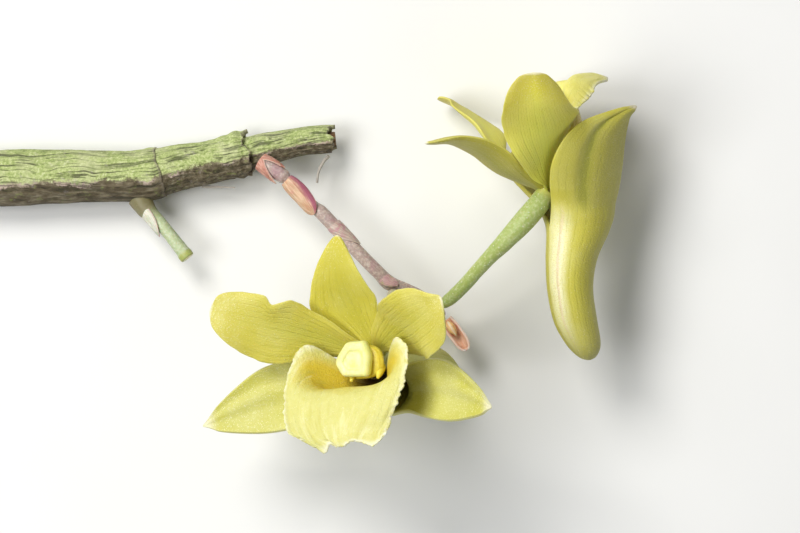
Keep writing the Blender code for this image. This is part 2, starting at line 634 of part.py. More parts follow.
def build():
    for found in list(bpy.data.objects):
        bpy.data.objects.remove(found, do_unlink=True)
    bark = material("cane_core", (0.42, 0.24, 0.12), 0.8)
    dry = material("dry_sheath", (0.36, 0.36, 0.16), 0.8)
    stub_green = material("stub_green", (0.50, 0.56, 0.30), 0.6)
    pale = material("pale_bract", (0.72, 0.70, 0.58), 0.6)
    fibre = material("dry_fibre", (0.35, 0.32, 0.28), 0.8)
    mauve = material("mauve_stalk", (0.46, 0.26, 0.26), 0.5)
    paper = material("papery_bract", (0.55, 0.36, 0.22), 0.7)
    scale_look = material("orange_scale", (0.85, 0.55, 0.22), 0.5)
    peach = material("peach_bract", (0.75, 0.38, 0.25), 0.5)
    green = material("pedicel_green", (0.45, 0.58, 0.22), 0.45)
    sepal = material("sepal_yellow", (0.72, 0.68, 0.18), 0.5)
    petal = material("petal_yellow", (0.76, 0.70, 0.18), 0.5)
    lip = material("lip_yellow", (0.82, 0.74, 0.28), 0.5)
    column = material("column_yellow", (0.80, 0.62, 0.12), 0.4)
    cap = material("cap_cream", (0.85, 0.82, 0.50), 0.35)

    x = np.linspace(-36.0, 26.2, 16)
    rod("cane", along_cane(x), [float(eased(CANE_RADIUS, v)) for v in x], 14, bark)
    sheath("sheath_lower", LOWER_SHEATH, 11, dry, ragged=(0.0, 0.05), depth=0.02)
    sheath("sheath_middle", MIDDLE_SHEATH, 12, dry, ragged=(0.0, 0.35), wrinkle=(0.12, 1.7, 13.0), depth=0.03)
    sheath("sheath_upper", UPPER_SHEATH, 9, dry, ragged=(0.0, 0.4), depth=0.03)
    at = np.linspace(0, 1, 7)
    rod("old_stub", curve(STUB_PATH, at), np.interp(at, [0, 0.5, 1], [0.95, 0.9, 1.05]), 12, stub_green)
    stub_cover = [(0, 95), (0.5, 75), (0.85, 48), (1, 26)]
    clasp("stub_bract", STUB_PATH[:3], [(0, 1.5), (1, 1.5)], 120, stub_cover, pale)
    at = np.linspace(0, 1, 10)
    rod("tip_fibre", curve(FIBRE_PATH, at), np.full(10, 0.25), 6, fibre)
    at = np.linspace(0, 1, 5)
    rod("splinter", curve(SPLINTER_PATH, at), np.full(5, 0.22), 6, fibre)

    at = np.r_[0, 0.05, 0.09, 0.12, 0.135, np.linspace(0.16, 1, 22)]
    line = curve(RACHIS_PATH, at)
    rod("rachis", line, [float(eased(RACHIS_RADIUS, v)) for v in at], 12, mauve)

    outer_cover = [(0, 95), (0.6, 75), (1, 45)]
    outer_radius = [(0, 1.5), (0.5, 1.6), (1, 1.75)]
    clasp("base_bract_outer", BASE_BRACT_PATH, outer_radius, 75, outer_cover, paper, rows=8, ragged=0.35)
    inner_cover = [(0, 30), (0.7, 30), (1, 18)]
    clasp("base_bract_inner", BASE_BRACT_PATH, [(0, 1.45), (1, 1.5)], -66, inner_cover, paper, rows=6, cols=5)
    spathe_cover = [(0, 115), (0.5, 105), (0.8, 85), (0.93, 60), (1, 34)]
    spathe_radius = [(0, 1.18), (0.5, 1.2), (1, 1.25)]
    clasp("spathe_bract", SPATHE_PATH, spathe_radius, 35, spathe_cover, peach, rows=10, thickness=0.4)
    sheath_cover = [(0, 150), (0.3, 115), (0.7, 60), (1, 24)]
    sheath_radius = [(0, 1.06), (1, 1.06)]
    clasp("small_sheath", SMALL_SHEATH_PATH, sheath_radius, -70, sheath_cover, peach, cols=10, thickness=0.35)
    bract_cover = [(0, 65), (0.6, 50), (1, 20)]
    bract_radius = [(0, 1.45), (0.5, 1.6), (1, 1.75)]
    clasp("floral_bract", FLORAL_BRACT_PATH, bract_radius, -42, bract_cover, peach, rows=7, cols=7)
    spoon_cover = [(0, 100), (0.5, 95), (1, 80)]
    spoon_radius = [(0, 0.7), (0.3, 1.0), (0.75, 0.95), (1, 0.4)]
    clasp("terminal_bract", SPOON_PATH, spoon_radius, 180, spoon_cover, peach, cols=9)
    at = np.linspace(0, 1, 6)
    rod("terminal_scale", curve(SCALE_PATH, at), [0.3, 0.5, 0.6, 0.58, 0.4, 0.12], 8, scale_look)

    front = front_place()
    side = Flower("side_", SIDE_JUNCTION, SIDE_FORWARD, SIDE_DORSAL)
    pedicel("front_pedicel", front, FRONT_STALK, green)
    pedicel("side_pedicel", side, SIDE_STALK, green)
    looks = (sepal, petal, lip, column, cap)
    build_flower(front, FRONT_FORM, looks)
    build_flower(side, SIDE_FORM, looks)


build()
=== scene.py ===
"""Dendrobium cerinum: a cut piece of old cane with two yellow flowers, lying on a pale surface.

Lengths are in millimetres, measured from under the cane's first node, and become metres when a
piece is laid out. A flower's own directions are right, dorsal and forward, from its junction.
"""

import math

import bpy
import numpy as np
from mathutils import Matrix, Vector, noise


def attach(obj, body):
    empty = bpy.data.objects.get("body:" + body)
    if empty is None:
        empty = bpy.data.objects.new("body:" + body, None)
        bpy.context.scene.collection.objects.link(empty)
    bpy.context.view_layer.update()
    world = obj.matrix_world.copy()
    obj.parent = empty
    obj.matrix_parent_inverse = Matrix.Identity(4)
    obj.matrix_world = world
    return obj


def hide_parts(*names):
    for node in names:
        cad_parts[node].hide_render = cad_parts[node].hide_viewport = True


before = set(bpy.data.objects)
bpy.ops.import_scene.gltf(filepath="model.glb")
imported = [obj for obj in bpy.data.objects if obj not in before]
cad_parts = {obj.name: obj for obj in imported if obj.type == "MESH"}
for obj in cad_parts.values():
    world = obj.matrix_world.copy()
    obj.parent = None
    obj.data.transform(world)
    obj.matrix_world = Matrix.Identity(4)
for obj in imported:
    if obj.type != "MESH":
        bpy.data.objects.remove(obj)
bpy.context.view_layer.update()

MM = 0.001
REST = np.array((-24.0, -0.7, 0.0))
CAMERA_PLACE = (35.3, -13.1, 600.0)
CAMERA_LENS = 189.8
LIGHT_AIM = (25.0, -12.0, 12.0)
FLOOR_SIZE = 6.0
FLOOR_DROP = 0.0002
NOISE_START = 3.1
CELLS_PER_MM = 4.2
PETAL_WAVES = 2.0
TIP_START = 0.965
TIP_LENGTH = 0.035
VALLEY_DEPTH = 0.45
BLADE_THICKNESS = 0.68
LIP_THICKNESS = 0.66
FLESH = dict(Subsurface_Weight=0.15, Subsurface_Scale=0.0008, Subsurface_Radius=(1.0, 0.75, 0.2))

CANE_PATH = [
    (-36.0, -0.9, 3.8), (-21.2, -0.6, 3.8), (-10.0, -0.4, 3.8), (0.0, -0.1, 3.85), (4.2, 0.9, 3.9),
    (8.5, 1.6, 4.0), (12.7, 2.7, 4.1), (16.9, 3.6, 4.2), (21.2, 4.5, 4.3), (26.2, 5.0, 4.4),
]
CANE_RADIUS = [(-36.0, 2.8), (-5.0, 2.6), (0.0, 2.3), (4.0, 2.05), (10.5, 2.0), (12.6, 1.1), (26.2, 0.95)]
SHEATH_WALL = 0.6
SHEATH_RELIEF = 0.12
LOWER_SHEATH = [
    (-36.0, 4.0), (-21.0, 4.02), (-12.0, 3.8), (-4.0, 3.6), (-1.2, 3.62), (0.3, 3.7), (1.55, 3.52),
]
MIDDLE_SHEATH = [(1.3, 3.4), (2.5, 3.3), (6.0, 3.15), (9.5, 3.05), (11.5, 3.2), (12.8, 3.3), (13.8, 3.2)]
UPPER_SHEATH = [(13.1, 2.1), (15.5, 2.35), (18.0, 2.15), (21.0, 2.0), (23.5, 2.05), (25.6, 1.95)]
STUB_PATH = [(-0.6, -4.9, 4.2), (1.0, -6.5, 4.7), (2.4, -8.1, 5.0), (5.4, -11.9, 5.5)]
FIBRE_PATH = [(25.2, 2.5, 4.2), (24.4, 1.5, 5.0), (23.8, 0.2, 5.3), (23.6, -1.3, 5.0)]
SPLINTER_PATH = [(7.3, -1.8, 3.7), (9.6, -1.88, 3.8), (12.0, -1.94, 3.9)]
RACHIS_PATH = [
    (15.6, 1.7, 7.3), (17.0, 0.8, 7.6), (19.0, -0.5, 7.6), (21.7, -3.2, 7.5), (24.9, -6.2, 7.4),
    (27.0, -8.5, 7.4), (30.4, -12.1, 7.3), (32.5, -14.2, 7.2), (33.6, -15.3, 7.0), (35.6, -16.1, 6.9),
    (38.1, -17.2, 6.7), (40.5, -19.1, 6.4), (41.4, -20.1, 6.2),
]
RACHIS_RADIUS = [
    (0.0, 0.95), (0.05, 1.05), (0.12, 1.02), (0.135, 0.72), (0.29, 0.75), (0.33, 1.0), (0.4, 0.98),
    (0.56, 0.94), (0.68, 0.94), (0.73, 1.06), (0.78, 0.9), (0.9, 0.82), (0.95, 0.95), (1.0, 0.5),
]
SPATHE_PATH = [(19.35, -0.95, 7.55), (21.7, -3.2, 7.5), (22.7, -4.3, 7.5), (23.75, -5.3, 7.5)]
SMALL_SHEATH_PATH = [(25.9, -7.2, 7.4), (27.4, -8.9, 7.4), (29.0, -10.6, 7.35)]
FLORAL_BRACT_PATH = [(32.8, -14.8, 7.3), (33.7, -15.8, 7.3), (34.6, -16.4, 7.3)]
BASE_BRACT_PATH = [(15.7, 1.65, 7.3), (17.0, 0.8, 7.6), (18.3, -0.1, 7.6)]
SPOON_PATH = [(41.75, -20.5, 6.5), (42.4, -21.5, 6.7), (43.5, -23.0, 6.9), (44.7, -24.8, 7.2)]
SCALE_PATH = [(42.0, -20.9, 6.9), (42.5, -21.7, 7.2), (43.2, -22.8, 7.45)]
FRONT_STALK = [(34.2, -16.9, 8.2), (34.8, -18.3, 12.0)]
SIDE_STALK = [
    (41.3, -18.4, 8.0), (42.8, -17.2, 9.6), (44.2, -15.8, 11.0), (47.1, -12.5, 13.4), (50.3, -9.15, 15.4),
]
FRONT_JUNCTION = (31.87, -24.83, 20.61)
FRONT_TURN = 28.0
FRONT_NOD = 4.0
FRONT_ROLL = 5.5
SIDE_JUNCTION = (55.83, -2.9, 14.54)
SIDE_FORWARD = (0.0, 0.994, -0.11)
SIDE_DORSAL = (-0.92, 0.043, 0.388)

# A petal's spine is (right, dorsal, forward) places; its edges are (position, half-width) keys. The joined
# sepals are (dorsal edge, ventral edge, swell, flatness) stations, and the lip (middle, knee, rim) ones.
SPUR = [
    ((0, -6.1, -22.9), (0, -6.1, -22.9), 0.0, 0.0),
    ((0, -4.7, -22.3), (0, -7.1, -22.2), 1.1, 0.0),
    ((0, -3.0, -20.6), (0, -7.5, -20.6), 1.8, 0.0),
    ((0, -1.3, -17.7), (0, -6.9, -17.3), 2.2, 0.0),
    ((0, -0.4, -13.5), (0, -6.3, -13.1), 2.5, 0.0),
    ((0, -0.2, -9.2), (0, -6.9, -9.0), 2.9, 0.0),
    ((0, -0.3, -5.0), (0, -8.6, -5.2), 3.45, 0.0),
]
LIP_CLAW = [
    ((0, -3.4, -7.0), (1.0, -3.2, -7.0), (1.6, -2.6, -7.0)),
    ((0, -5.4, -2.2), (1.6, -4.9, -2.2), (1.8, -3.7, -2.2)),
]
FRONT_FORM = {
    "dorsal": [(0, 1.9, 1.0), (-1.2, 6.6, 2.7), (-1.35, 11.4, 5.0), (-0.4, 16.6, 6.3)],
    "dorsal_right": [
        (0, 2.2), (0.1, 2.9), (0.2, 3.4), (0.3, 4.1), (0.4, 4.4), (0.5, 4.1), (0.7, 3.15), (0.9, 1.4),
        (1, 0.3),
    ],
    "dorsal_left": [
        (0, 2.2), (0.1, 3.2), (0.2, 4.6), (0.32, 6.2), (0.4, 6.1), (0.5, 5.3), (0.6, 4.4), (0.7, 3.45),
        (0.8, 2.55), (0.9, 1.65), (1, 0.4),
    ],
    "left_petal": [(-2.3, 1.0, 1.7), (-6.4, 3.4, 4.7), (-12.0, 5.9, 8.6), (-18.4, 8.1, 12.0)],
    "left_face": [(0.2, -0.45, 1.0), (0.35, 0.0, 1.0)],
    "left_upper": [
        (0, 1.3), (0.2, 2.6), (0.35, 3.2), (0.43, 3.8), (0.49, 4.1), (0.55, 3.4), (0.61, 2.7),
        (0.66, 3.7), (0.76, 3.5), (0.9, 3.0), (0.97, 2.2), (1, 0.9),
    ],
    "left_lower": [
        (0, 1.5), (0.1, 2.6), (0.2, 3.5), (0.4, 4.9), (0.56, 5.7), (0.7, 5.3), (0.8, 4.5), (0.9, 3.3),
        (0.97, 2.0), (1, 0.9),
    ],
    "right_petal": [(2.3, 1.0, 1.7), (6.5, 2.8, 4.9), (11.6, 4.6, 9.2), (18.3, 6.9, 13.6)],
    "right_face": [(-0.2, -0.6, 1.0), (-0.35, 0.0, 1.0)],
    "right_upper": [
        (0, 2.0), (0.07, 2.8), (0.15, 3.3), (0.24, 3.8), (0.36, 4.5), (0.55, 4.5), (0.75, 3.3), (0.9, 1.5),
        (1, 0.5),
    ],
    "right_lower": [
        (0, 1.3), (0.2, 3.5), (0.34, 4.9), (0.46, 5.5), (0.58, 5.7), (0.7, 5.6), (0.79, 5.2), (0.87, 4.4),
        (0.95, 2.6), (0.985, 1.5), (1, 0.8),
    ],
    "lateral": SPUR
    + [
        ((0, -1.6, -2.0), (0, -8.9, -2.0), 3.9, 0.1),
        ((2.0, -1.8, -0.2), (2.4, -8.6, 0.0), 3.1, 0.35),
        ((5.4, -1.0, 1.2), (5.6, -8.5, 2.0), 1.8, 0.7),
        ((10.0, -0.3, 3.2), (9.6, -9.4, 4.0), 1.4, 1.0),
        ((14.4, -1.1, 5.0), (14.0, -10.0, 5.6), 1.0, 1.0),
        ((18.6, -4.2, 6.6), (18.4, -9.7, 7.0), 0.5, 1.0),
        ((22.4, -8.1, 8.0), (22.2, -9.0, 8.0), 0.0, 1.0),
    ],
    "lateral_shifts": [((-1.2, 0.2, 0.0), 1.2), ((1.6, 0.7, 0.0), 0.0)],
    "lip": [
        *LIP_CLAW,
        ((0, -6.2, 2.4), (2.9, -4.4, 2.3), (3.1, -1.6, 2.2)),
        ((0, -5.6, 6.4), (5.2, -3.7, 6.2), (6.5, 2.0, 6.2)),
        ((0, -4.3, 9.3), (6.1, -3.3, 8.7), (8.4, 0.8, 7.8)),
        ((0, -5.1, 11.6), (6.2, -4.4, 11.0), (9.1, -2.6, 9.8)),
        ((0, -7.8, 13.4), (5.8, -7.2, 12.9), (9.0, -5.9, 11.5)),
        ((0, -10.0, 14.4), (4.4, -10.0, 14.0), (8.0, -9.6, 13.0)),
        ((0, -11.2, 15.0), (2.2, -11.4, 14.8), (4.6, -11.4, 14.2)),
    ],
    "lip_shift": 0.4,
    "right_spread": 0.7,
    "right_drop": 0.1,
    "tip_shift": 0.8,
    "tip_spread": 2.3,
    "right_trim": 0.8,
    "apex": [
        (-1, -1.0), (-0.88, -0.7), (-0.66, 1.0), (-0.4, -0.3), (-0.1, 0.4), (0.14, 0.4), (0.45, -0.4),
        (0.64, -0.1), (0.8, 0.5), (0.92, -0.3), (1, -1.2),
    ],
}
SIDE_SEPAL_EDGE = [(0, 1.3), (0.15, 2.6), (0.4, 4.8), (0.56, 4.5), (0.74, 3.2), (0.9, 1.6), (1, 0.35)]
SIDE_FORM = {
    "dorsal": [(0, 1.9, 1.0), (0, 5.8, 2.4), (0, 10.0, 5.1), (0, 14.0, 6.4), (0, 18.6, 6.0)],
    "dorsal_right": SIDE_SEPAL_EDGE,
    "dorsal_left": SIDE_SEPAL_EDGE,
    "left_petal": [
        (-2.3, 1.2, 1.3), (-6.0, 3.3, 4.1), (-10.6, 5.9, 7.1), (-14.4, 8.3, 10.4), (-16.5, 9.7, 13.95),
    ],
    "left_face": [(0.95, 0.33, 0.0), (0.435, -0.245, 0.858)],
    "left_upper": [
        (0, 0.9), (0.1, 2.3), (0.2, 3.2), (0.4, 4.4), (0.55, 5.0), (0.68, 5.15), (0.8, 4.6), (0.88, 3.9),
        (0.93, 3.15), (0.96, 2.5), (0.98, 2.1), (1, 1.6),
    ],
    "left_lower": [
        (0, 0.9), (0.1, 2.0), (0.2, 3.3), (0.3, 5.0), (0.42, 6.5), (0.52, 6.0), (0.64, 5.0), (0.8, 3.9),
        (0.88, 3.2), (0.93, 2.5), (0.96, 2.0), (0.98, 1.7), (1, 1.3),
    ],
    "right_petal": [
        (2.3, 1.1, 1.7), (5.6, 4.4, 5.9), (9.3, 5.8, 10.0), (12.93, 7.3, 13.2), (15.4, 9.9, 14.7),
    ],
    "right_face": [(-0.43, -0.46, 0.77)] * 2,
    "right_upper": [(0, 0.9), (0.2, 3.5), (0.45, 5.1), (0.66, 5.0), (0.84, 4.1), (0.95, 2.6), (1, 0.9)],
    "right_lower": [
        (0, 0.7), (0.2, 1), (0.35, 2.2), (0.55, 4.2), (0.7, 4.9), (0.84, 4.2), (0.95, 2.6), (1, 0.9),
    ],
    "lateral": SPUR
    + [
        ((1.1, 0.0, -2.5), (0, -9.5, -2.6), 3.3, 0.0),
        ((2.4, 0.6, -0.7), (1.0, -9.5, -0.6), 2.5, 0.1),
        ((4.4, 1.7, 1.2), (2.4, -9.5, 1.4), 2.0, 0.25),
        ((6.9, 2.5, 3.5), (4.2, -9.2, 4.0), 1.5, 0.5),
        ((8.8, 1.6, 6.5), (6.4, -8.6, 7.0), 1.0, 0.8),
        ((9.6, -0.9, 8.9), (8.0, -8.3, 9.0), 0.8, 1.0),
        ((10.0, -5.15, 10.6), (9.3, -8.2, 10.3), 0.3, 1.0),
        ((10.4, -8.2, 11.5), (10.3, -9.1, 11.2), 0.0, 1.0),
    ],
    "lateral_shifts": [((0, 0, 0), 0.0), ((0, 0, 0), 0.0)],
    "lip": [
        *LIP_CLAW,
        ((0, -6.0, 2.8), (2.8, -4.4, 2.6), (3.0, -1.6, 2.4)),
        ((0, -5.0, 7.4), (4.4, -2.8, 7.0), (4.9, 0.6, 6.6)),
        ((0, -3.9, 11.0), (6.0, -1.2, 10.8), (7.4, 1.0, 9.4)),
        ((0, -3.9, 13.6), (6.9, 0.4, 13.2), (9.0, -0.9, 11.0)),
        ((0, -4.8, 15.4), (6.4, -1.0, 15.1), (9.0, -2.6, 12.8)),
        ((0, -6.8, 16.3), (4.6, -4.2, 16.1), (7.0, -4.4, 14.6)),
        ((0, -8.6, 16.5), (2.4, -7.8, 16.3), (4.2, -7.2, 15.4)),
    ],
    "apex": [(-1, 0.0), (-0.6, 0.3), (-0.2, -0.3), (0.1, 0.2), (0.5, -0.2), (0.8, 0.4), (1, 0.0)],
}
COLUMN = [
    ((0, -0.2, 0.3), (0, -0.66, 0.75), 1.35, 1.35, 2.0),
    ((0, -0.5, 1.4), (0, -0.3, 1.0), 1.6, 1.5, 2.2),
    ((0.2, -0.8, 3.0), (0, 0.0, 1.0), 2.6, 2.0, 2.5),
    ((0.4, -1.0, 4.4), (0, 0.0, 1.0), 3.2, 2.3, 2.5),
    ((0.4, -1.0, 5.2), (0, 0.0, 1.0), 2.9, 2.2, 2.5),
]
COLUMN_TEETH = [
    [(-1.2, -1.9, 3.8), (-0.9, -2.6, 5.2), (-0.7, -3.4, 6.3)],
    [(2.6, -1.9, 3.6), (3.0, -2.6, 4.8), (3.1, -3.3, 5.7)],
]
CAP = [
    ((0.1, -0.5, 5.35), (0, 0.05, 1.0), 0.98, 0.96, 2.0),
    ((0.1, -0.5, 6.1), (0, 0.05, 1.0), 1.06, 1.03, 2.0),
    ((0.1, -0.5, 6.7), (0, 0.05, 1.0), 1.0, 0.98, 2.0),
    ((0.1, -0.5, 7.0), (0, 0.05, 1.0), 0.84, 0.82, 2.0),
    ((0.2, -0.55, 6.98), (0, 0.05, 1.0), 0.66, 0.62, 2.0),
    ((0.2, -0.6, 6.75), (0, 0.05, 1.0), 0.52, 0.46, 2.0),
    ((0.2, -0.6, 6.85), (0, 0.05, 1.0), 0.26, 0.24, 2.0),
]
CAP_FACETS = [(90, 2.4), (140, 2.2), (165, 2.55), (210, 2.6), (266, 2.3), (-11, 2.4), (20, 2.55)]


# Curves


def unit(vector):
    vector = np.asarray(vector, float)
    return vector / np.linalg.norm(vector)


def eased(keys, at):
    """A monotone cubic through (position, value) keys."""
    x, y = np.array(keys, float).T
    step = np.diff(x)
    slope = np.diff(y) / step
    tangent = np.zeros(len(x))
    tangent[0], tangent[-1] = slope[0], slope[-1]
    for i in range(1, len(x) - 1):
        if slope[i - 1] * slope[i] > 0:
            tangent[i] = 2 * slope[i - 1] * slope[i] / (slope[i - 1] + slope[i])
    i = np.clip(np.searchsorted(x, at, side="right") - 1, 0, len(step) - 1)
    t = np.clip((at - x[i]) / step[i], 0, 1)
    rise = y[i] * (2 * t**3 - 3 * t**2 + 1) + y[i + 1] * (3 * t**2 - 2 * t**3)
    return rise + step[i] * (tangent[i] * (t**3 - 2 * t**2 + t) + tangent[i + 1] * (t**3 - t**2))


def smooth(keys, values, at):
    """A smooth curve through values at rising keys."""
    keys, values, at = (np.array(v, float) for v in (keys, values, at))
    slope = np.gradient(values, keys, axis=0)
    i = np.clip(np.searchsorted(keys, at, side="right") - 1, 0, len(keys) - 2)
    step = (keys[i + 1] - keys[i])[:, None]
    t = (at - keys[i])[:, None] / step
    rise = values[i] * (2 * t**3 - 3 * t**2 + 1) + values[i + 1] * (3 * t**2 - 2 * t**3)
    return rise + step * (slope[i] * (t**3 - 2 * t**2 + t) + slope[i + 1] * (t**3 - t**2))


def curve(points, at):
    """A smooth curve through points, read at positions from 0 to 1 along its length."""
    points = np.array(points, float)
    length = np.r_[0, np.cumsum(np.linalg.norm(np.diff(points, axis=0), axis=1))]
    return smooth(length / length[-1], points, at)


def between(stations, at):
    """The numbers of evenly spaced stations, read smoothly at positions from 0 to 1."""
    flat = [np.hstack(station) for station in stations]
    return smooth(np.linspace(0, 1, len(stations)), flat, at)


def tangents(line):
    return np.array([unit(step) for step in np.gradient(line, axis=0)])


def ring_frames(line):
    """Two directions across a path at each of its points: one as near up as can be, one level."""
    up = []
    for along in tangents(line):
        level = np.cross(along, (0, 0, 1))
        up.append(np.cross(unit(level), along))
    up = np.array(up)
    return up, np.cross(tangents(line), up)


def uneven(points, size):
    """Smooth random values, about -1 to 1, that change over the given size in millimetres."""
    return np.array([noise.noise(tuple(np.array(p) / size + NOISE_START)) for p in points])


# Mesh steps


def only(piece):
    """Selects one piece and nothing else."""
    bpy.ops.object.select_all(action="DESELECT")
    piece.select_set(True)
    bpy.context.view_layer.objects.active = piece


def laid_grid(name, points):
    """A grid with its points, row by row, on places given in millimetres."""
    rows, cols = np.shape(points)[:2]
    bpy.ops.object.select_all(action="DESELECT")
    counts = dict(x_subdivisions=cols - 1, y_subdivisions=rows - 1)
    bpy.ops.mesh.primitive_grid_add(**counts, size=1, location=(0, 0, 0))
    piece = bpy.context.object
    piece.name = piece.data.name = name
    places = (np.asarray(points, float).reshape(-1, 3) - REST) * MM
    piece.data.vertices.foreach_set("co", places.ravel())
    piece.data.update()
    return piece


def edit(piece, *steps):
    """Runs edit-mode steps on the whole of a piece."""
    only(piece)
    bpy.ops.object.mode_set(mode="EDIT")
    bpy.ops.mesh.select_all(action="SELECT")
    for step in steps:
        step()
    bpy.ops.object.mode_set(mode="OBJECT")


def merge():
    bpy.ops.mesh.remove_doubles(threshold=2e-6)


def face_out():
    bpy.ops.mesh.normals_make_consistent(inside=False)


def finish_with(piece, kind, **settings):
    """Adds a modifier and applies it."""
    only(piece)
    modifier = piece.modifiers.new(kind.title(), kind)
    for key, value in settings.items():
        setattr(modifier, key, value)
    bpy.ops.object.modifier_apply(modifier=modifier.name)


def thicken(piece, thickness, rim, margin=0.12):
    """Gives a sheet its thickness, thinner towards its rim and its tip, and rounds it."""
    group = piece.vertex_groups.new(name="thickness")
    uv = np.zeros(len(piece.data.loops) * 2)
    piece.data.uv_layers.active.data.foreach_get("uv", uv)
    corner = np.zeros(len(piece.data.loops), int)
    piece.data.loops.foreach_get("vertex_index", corner)
    place = np.zeros((len(piece.data.vertices), 2))
    place[corner] = uv.reshape(-1, 2)
    edge = np.minimum(np.minimum(place[:, 0], 1 - place[:, 0]), (1 - place[:, 1]) * 0.7)
    for index, share in enumerate(np.clip(edge / margin, 0, 1)):
        group.add([index], float(rim + (1 - rim) * share), "REPLACE")
    finish_with(piece, "SOLIDIFY", thickness=thickness * MM, offset=0.0, vertex_group=group.name)
    finish_with(piece, "SUBSURF", levels=1, render_levels=1)
    piece.vertex_groups.clear()


def wrapped(name, rings):
    """A tube through rings of points, its seam and its end poles closed."""
    rings = np.asarray(rings, float)
    rings = np.concatenate([rings, rings[:, :1]], axis=1)
    piece = laid_grid(name, rings)
    edit(piece, merge, face_out)
    return piece


def shown(piece, node, look):
    """Dresses a finished piece, and lets it stand for a CAD node."""
    only(piece)
    bpy.ops.object.shade_smooth()
    piece.data.materials.clear()
    piece.data.materials.append(look)
    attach(piece, "root")
    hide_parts(node)


# Node materials


class Value:
    """A socket that arithmetic can be written with."""

    def __init__(self, look, socket):
        self.look = look
        self.socket = socket

    def sum(self, operation, first, second):
        return self.look.node("ShaderNodeMath", {"operation": operation}, {0: first, 1: second})

    def __add__(self, other):
        return self.sum("ADD", self, other)

    def __radd__(self, other):
        return self.sum("ADD", other, self)

    def __sub__(self, other):
        return self.sum("SUBTRACT", self, other)

    def __rsub__(self, other):
        return self.sum("SUBTRACT", other, self)

    def __mul__(self, other):
        return self.sum("MULTIPLY", self, other)

    def __pow__(self, other):
        return self.sum("POWER", self, other)


class Look:
    """A material, its colour so far, and the steps that build its nodes."""

    def __init__(self, name, roughness=0.5, **constants):
        self.material = bpy.data.materials.new(name)
        self.material.use_nodes = True
        self.tree = self.material.node_tree
        self.shader = self.tree.nodes["Principled BSDF"]
        self.shader.inputs["Roughness"].default_value = roughness
        for socket, value in constants.items():
            self.shader.inputs[socket.replace("_", " ")].default_value = value
        self.spots = self.node("ShaderNodeTexCoord", output="Object")
        values = {0: self.spots, "Scale": 1 / MM}
        self.place = self.node("ShaderNodeVectorMath", {"operation": "SCALE"}, values)
        laid = self.node("ShaderNodeTexCoord", output="UV")
        self.across, self.along = (self.node("ShaderNodeSeparateXYZ", None, {0: laid}, n) for n in (0, 1))
        self.colour = None

    def node(self, kind, settings=None, values=None, output=0):
        """A node, with its settings first, then the values or links of its sockets."""
        made = self.tree.nodes.new(kind)
        for key, value in (settings or {}).items():
            if key == "stops":
                ramp = made.color_ramp
                while len(ramp.elements) < len(value):
                    ramp.elements.new(0.5)
                for element, (position, colour) in zip(ramp.elements, value):
                    element.position = position
                    element.color = (*colour, 1)
            else:
                setattr(made, key, value)
        for key, value in (values or {}).items():
            self.put(made.inputs[key], value)
        return Value(self, made.outputs[output])

    def put(self, socket, value):
        if isinstance(value, Value):
            self.tree.links.new(value.socket, socket)
        elif socket.type == "RGBA":
            socket.default_value = (*value, 1)
        else:
            socket.default_value = value

    def joined(self, x, y):
        return self.node("ShaderNodeCombineXYZ", None, {0: x, 1: y})

    def clouds(self, place, scale, detail=3.0, rough=0.55):
        """Soft noise, about 0 to 1, at a scale per unit of place."""
        values = {"Vector": place, "Scale": scale, "Detail": detail, "Roughness": rough}
        return self.node("ShaderNodeTexNoise", None, values)

    def cells(self, scale):
        return self.node("ShaderNodeTexVoronoi", None, {"Vector": self.place, "Scale": scale}, "Distance")

    def step(self, value, low, high):
        """A smooth change from 0 to 1 as value goes from low to high."""
        values = {"Value": value, "From Min": low, "From Max": high}
        return self.node("ShaderNodeMapRange", {"interpolation_type": "SMOOTHSTEP"}, values)

    def patches(self, scale, detail, low, high):
        """Soft patches: 0 where the noise is at low, 1 where it is at high."""
        return self.step(self.clouds(self.place, scale, detail), low, high)

    def mix(self, first, second, share):
        return self.node("ShaderNodeMix", {"data_type": "RGBA"}, {0: share, 6: first, 7: second}, output=2)

    def tint(self, colour, share):
        """Mixes a share of another colour into the one so far."""
        self.colour = self.mix(self.colour, colour, share)

    def ramp(self, value, *stops):
        return self.node("ShaderNodeValToRGB", {"stops": stops}, {0: value})

    def sine(self, value):
        return self.node("ShaderNodeMath", {"operation": "SINE"}, {0: value})

    def size(self, value):
        return self.node("ShaderNodeMath", {"operation": "ABSOLUTE"}, {0: value})

    def lines(self, value, count, sharpness):
        """Thin lines: 1 on each of count evenly spaced values, 0 between them."""
        wave = self.sine(value * (count * math.pi)) ** 2.0
        return (1.0 - wave) ** sharpness

    def skin(self):
        """The small cells of a petal's skin, its fine mottling, and a mask for the painted glints on some
        of the cells.
        """
        grain = self.cells(CELLS_PER_MM)
        fine = self.clouds(self.place, 6.0, 3.0)
        glint = self.step(grain, 0.3, 0.1) * self.patches(1.4, 2.0, 0.46, 0.66)
        return grain, fine, glint

    def finish(self, height=None, depth=0.05, roughness=None):
        """Links the colour, a relief with its depth in millimetres, and the roughness."""
        self.put(self.shader.inputs["Base Color"], self.colour)
        if roughness is not None:
            self.put(self.shader.inputs["Roughness"], roughness)
        if height is not None:
            values = {"Height": height, "Distance": depth * MM, "Strength": 1.0}
            self.put(self.shader.inputs["Normal"], self.node("ShaderNodeBump", None, values))
        return self.material


# The looks of petals, stalks, bracts and bark


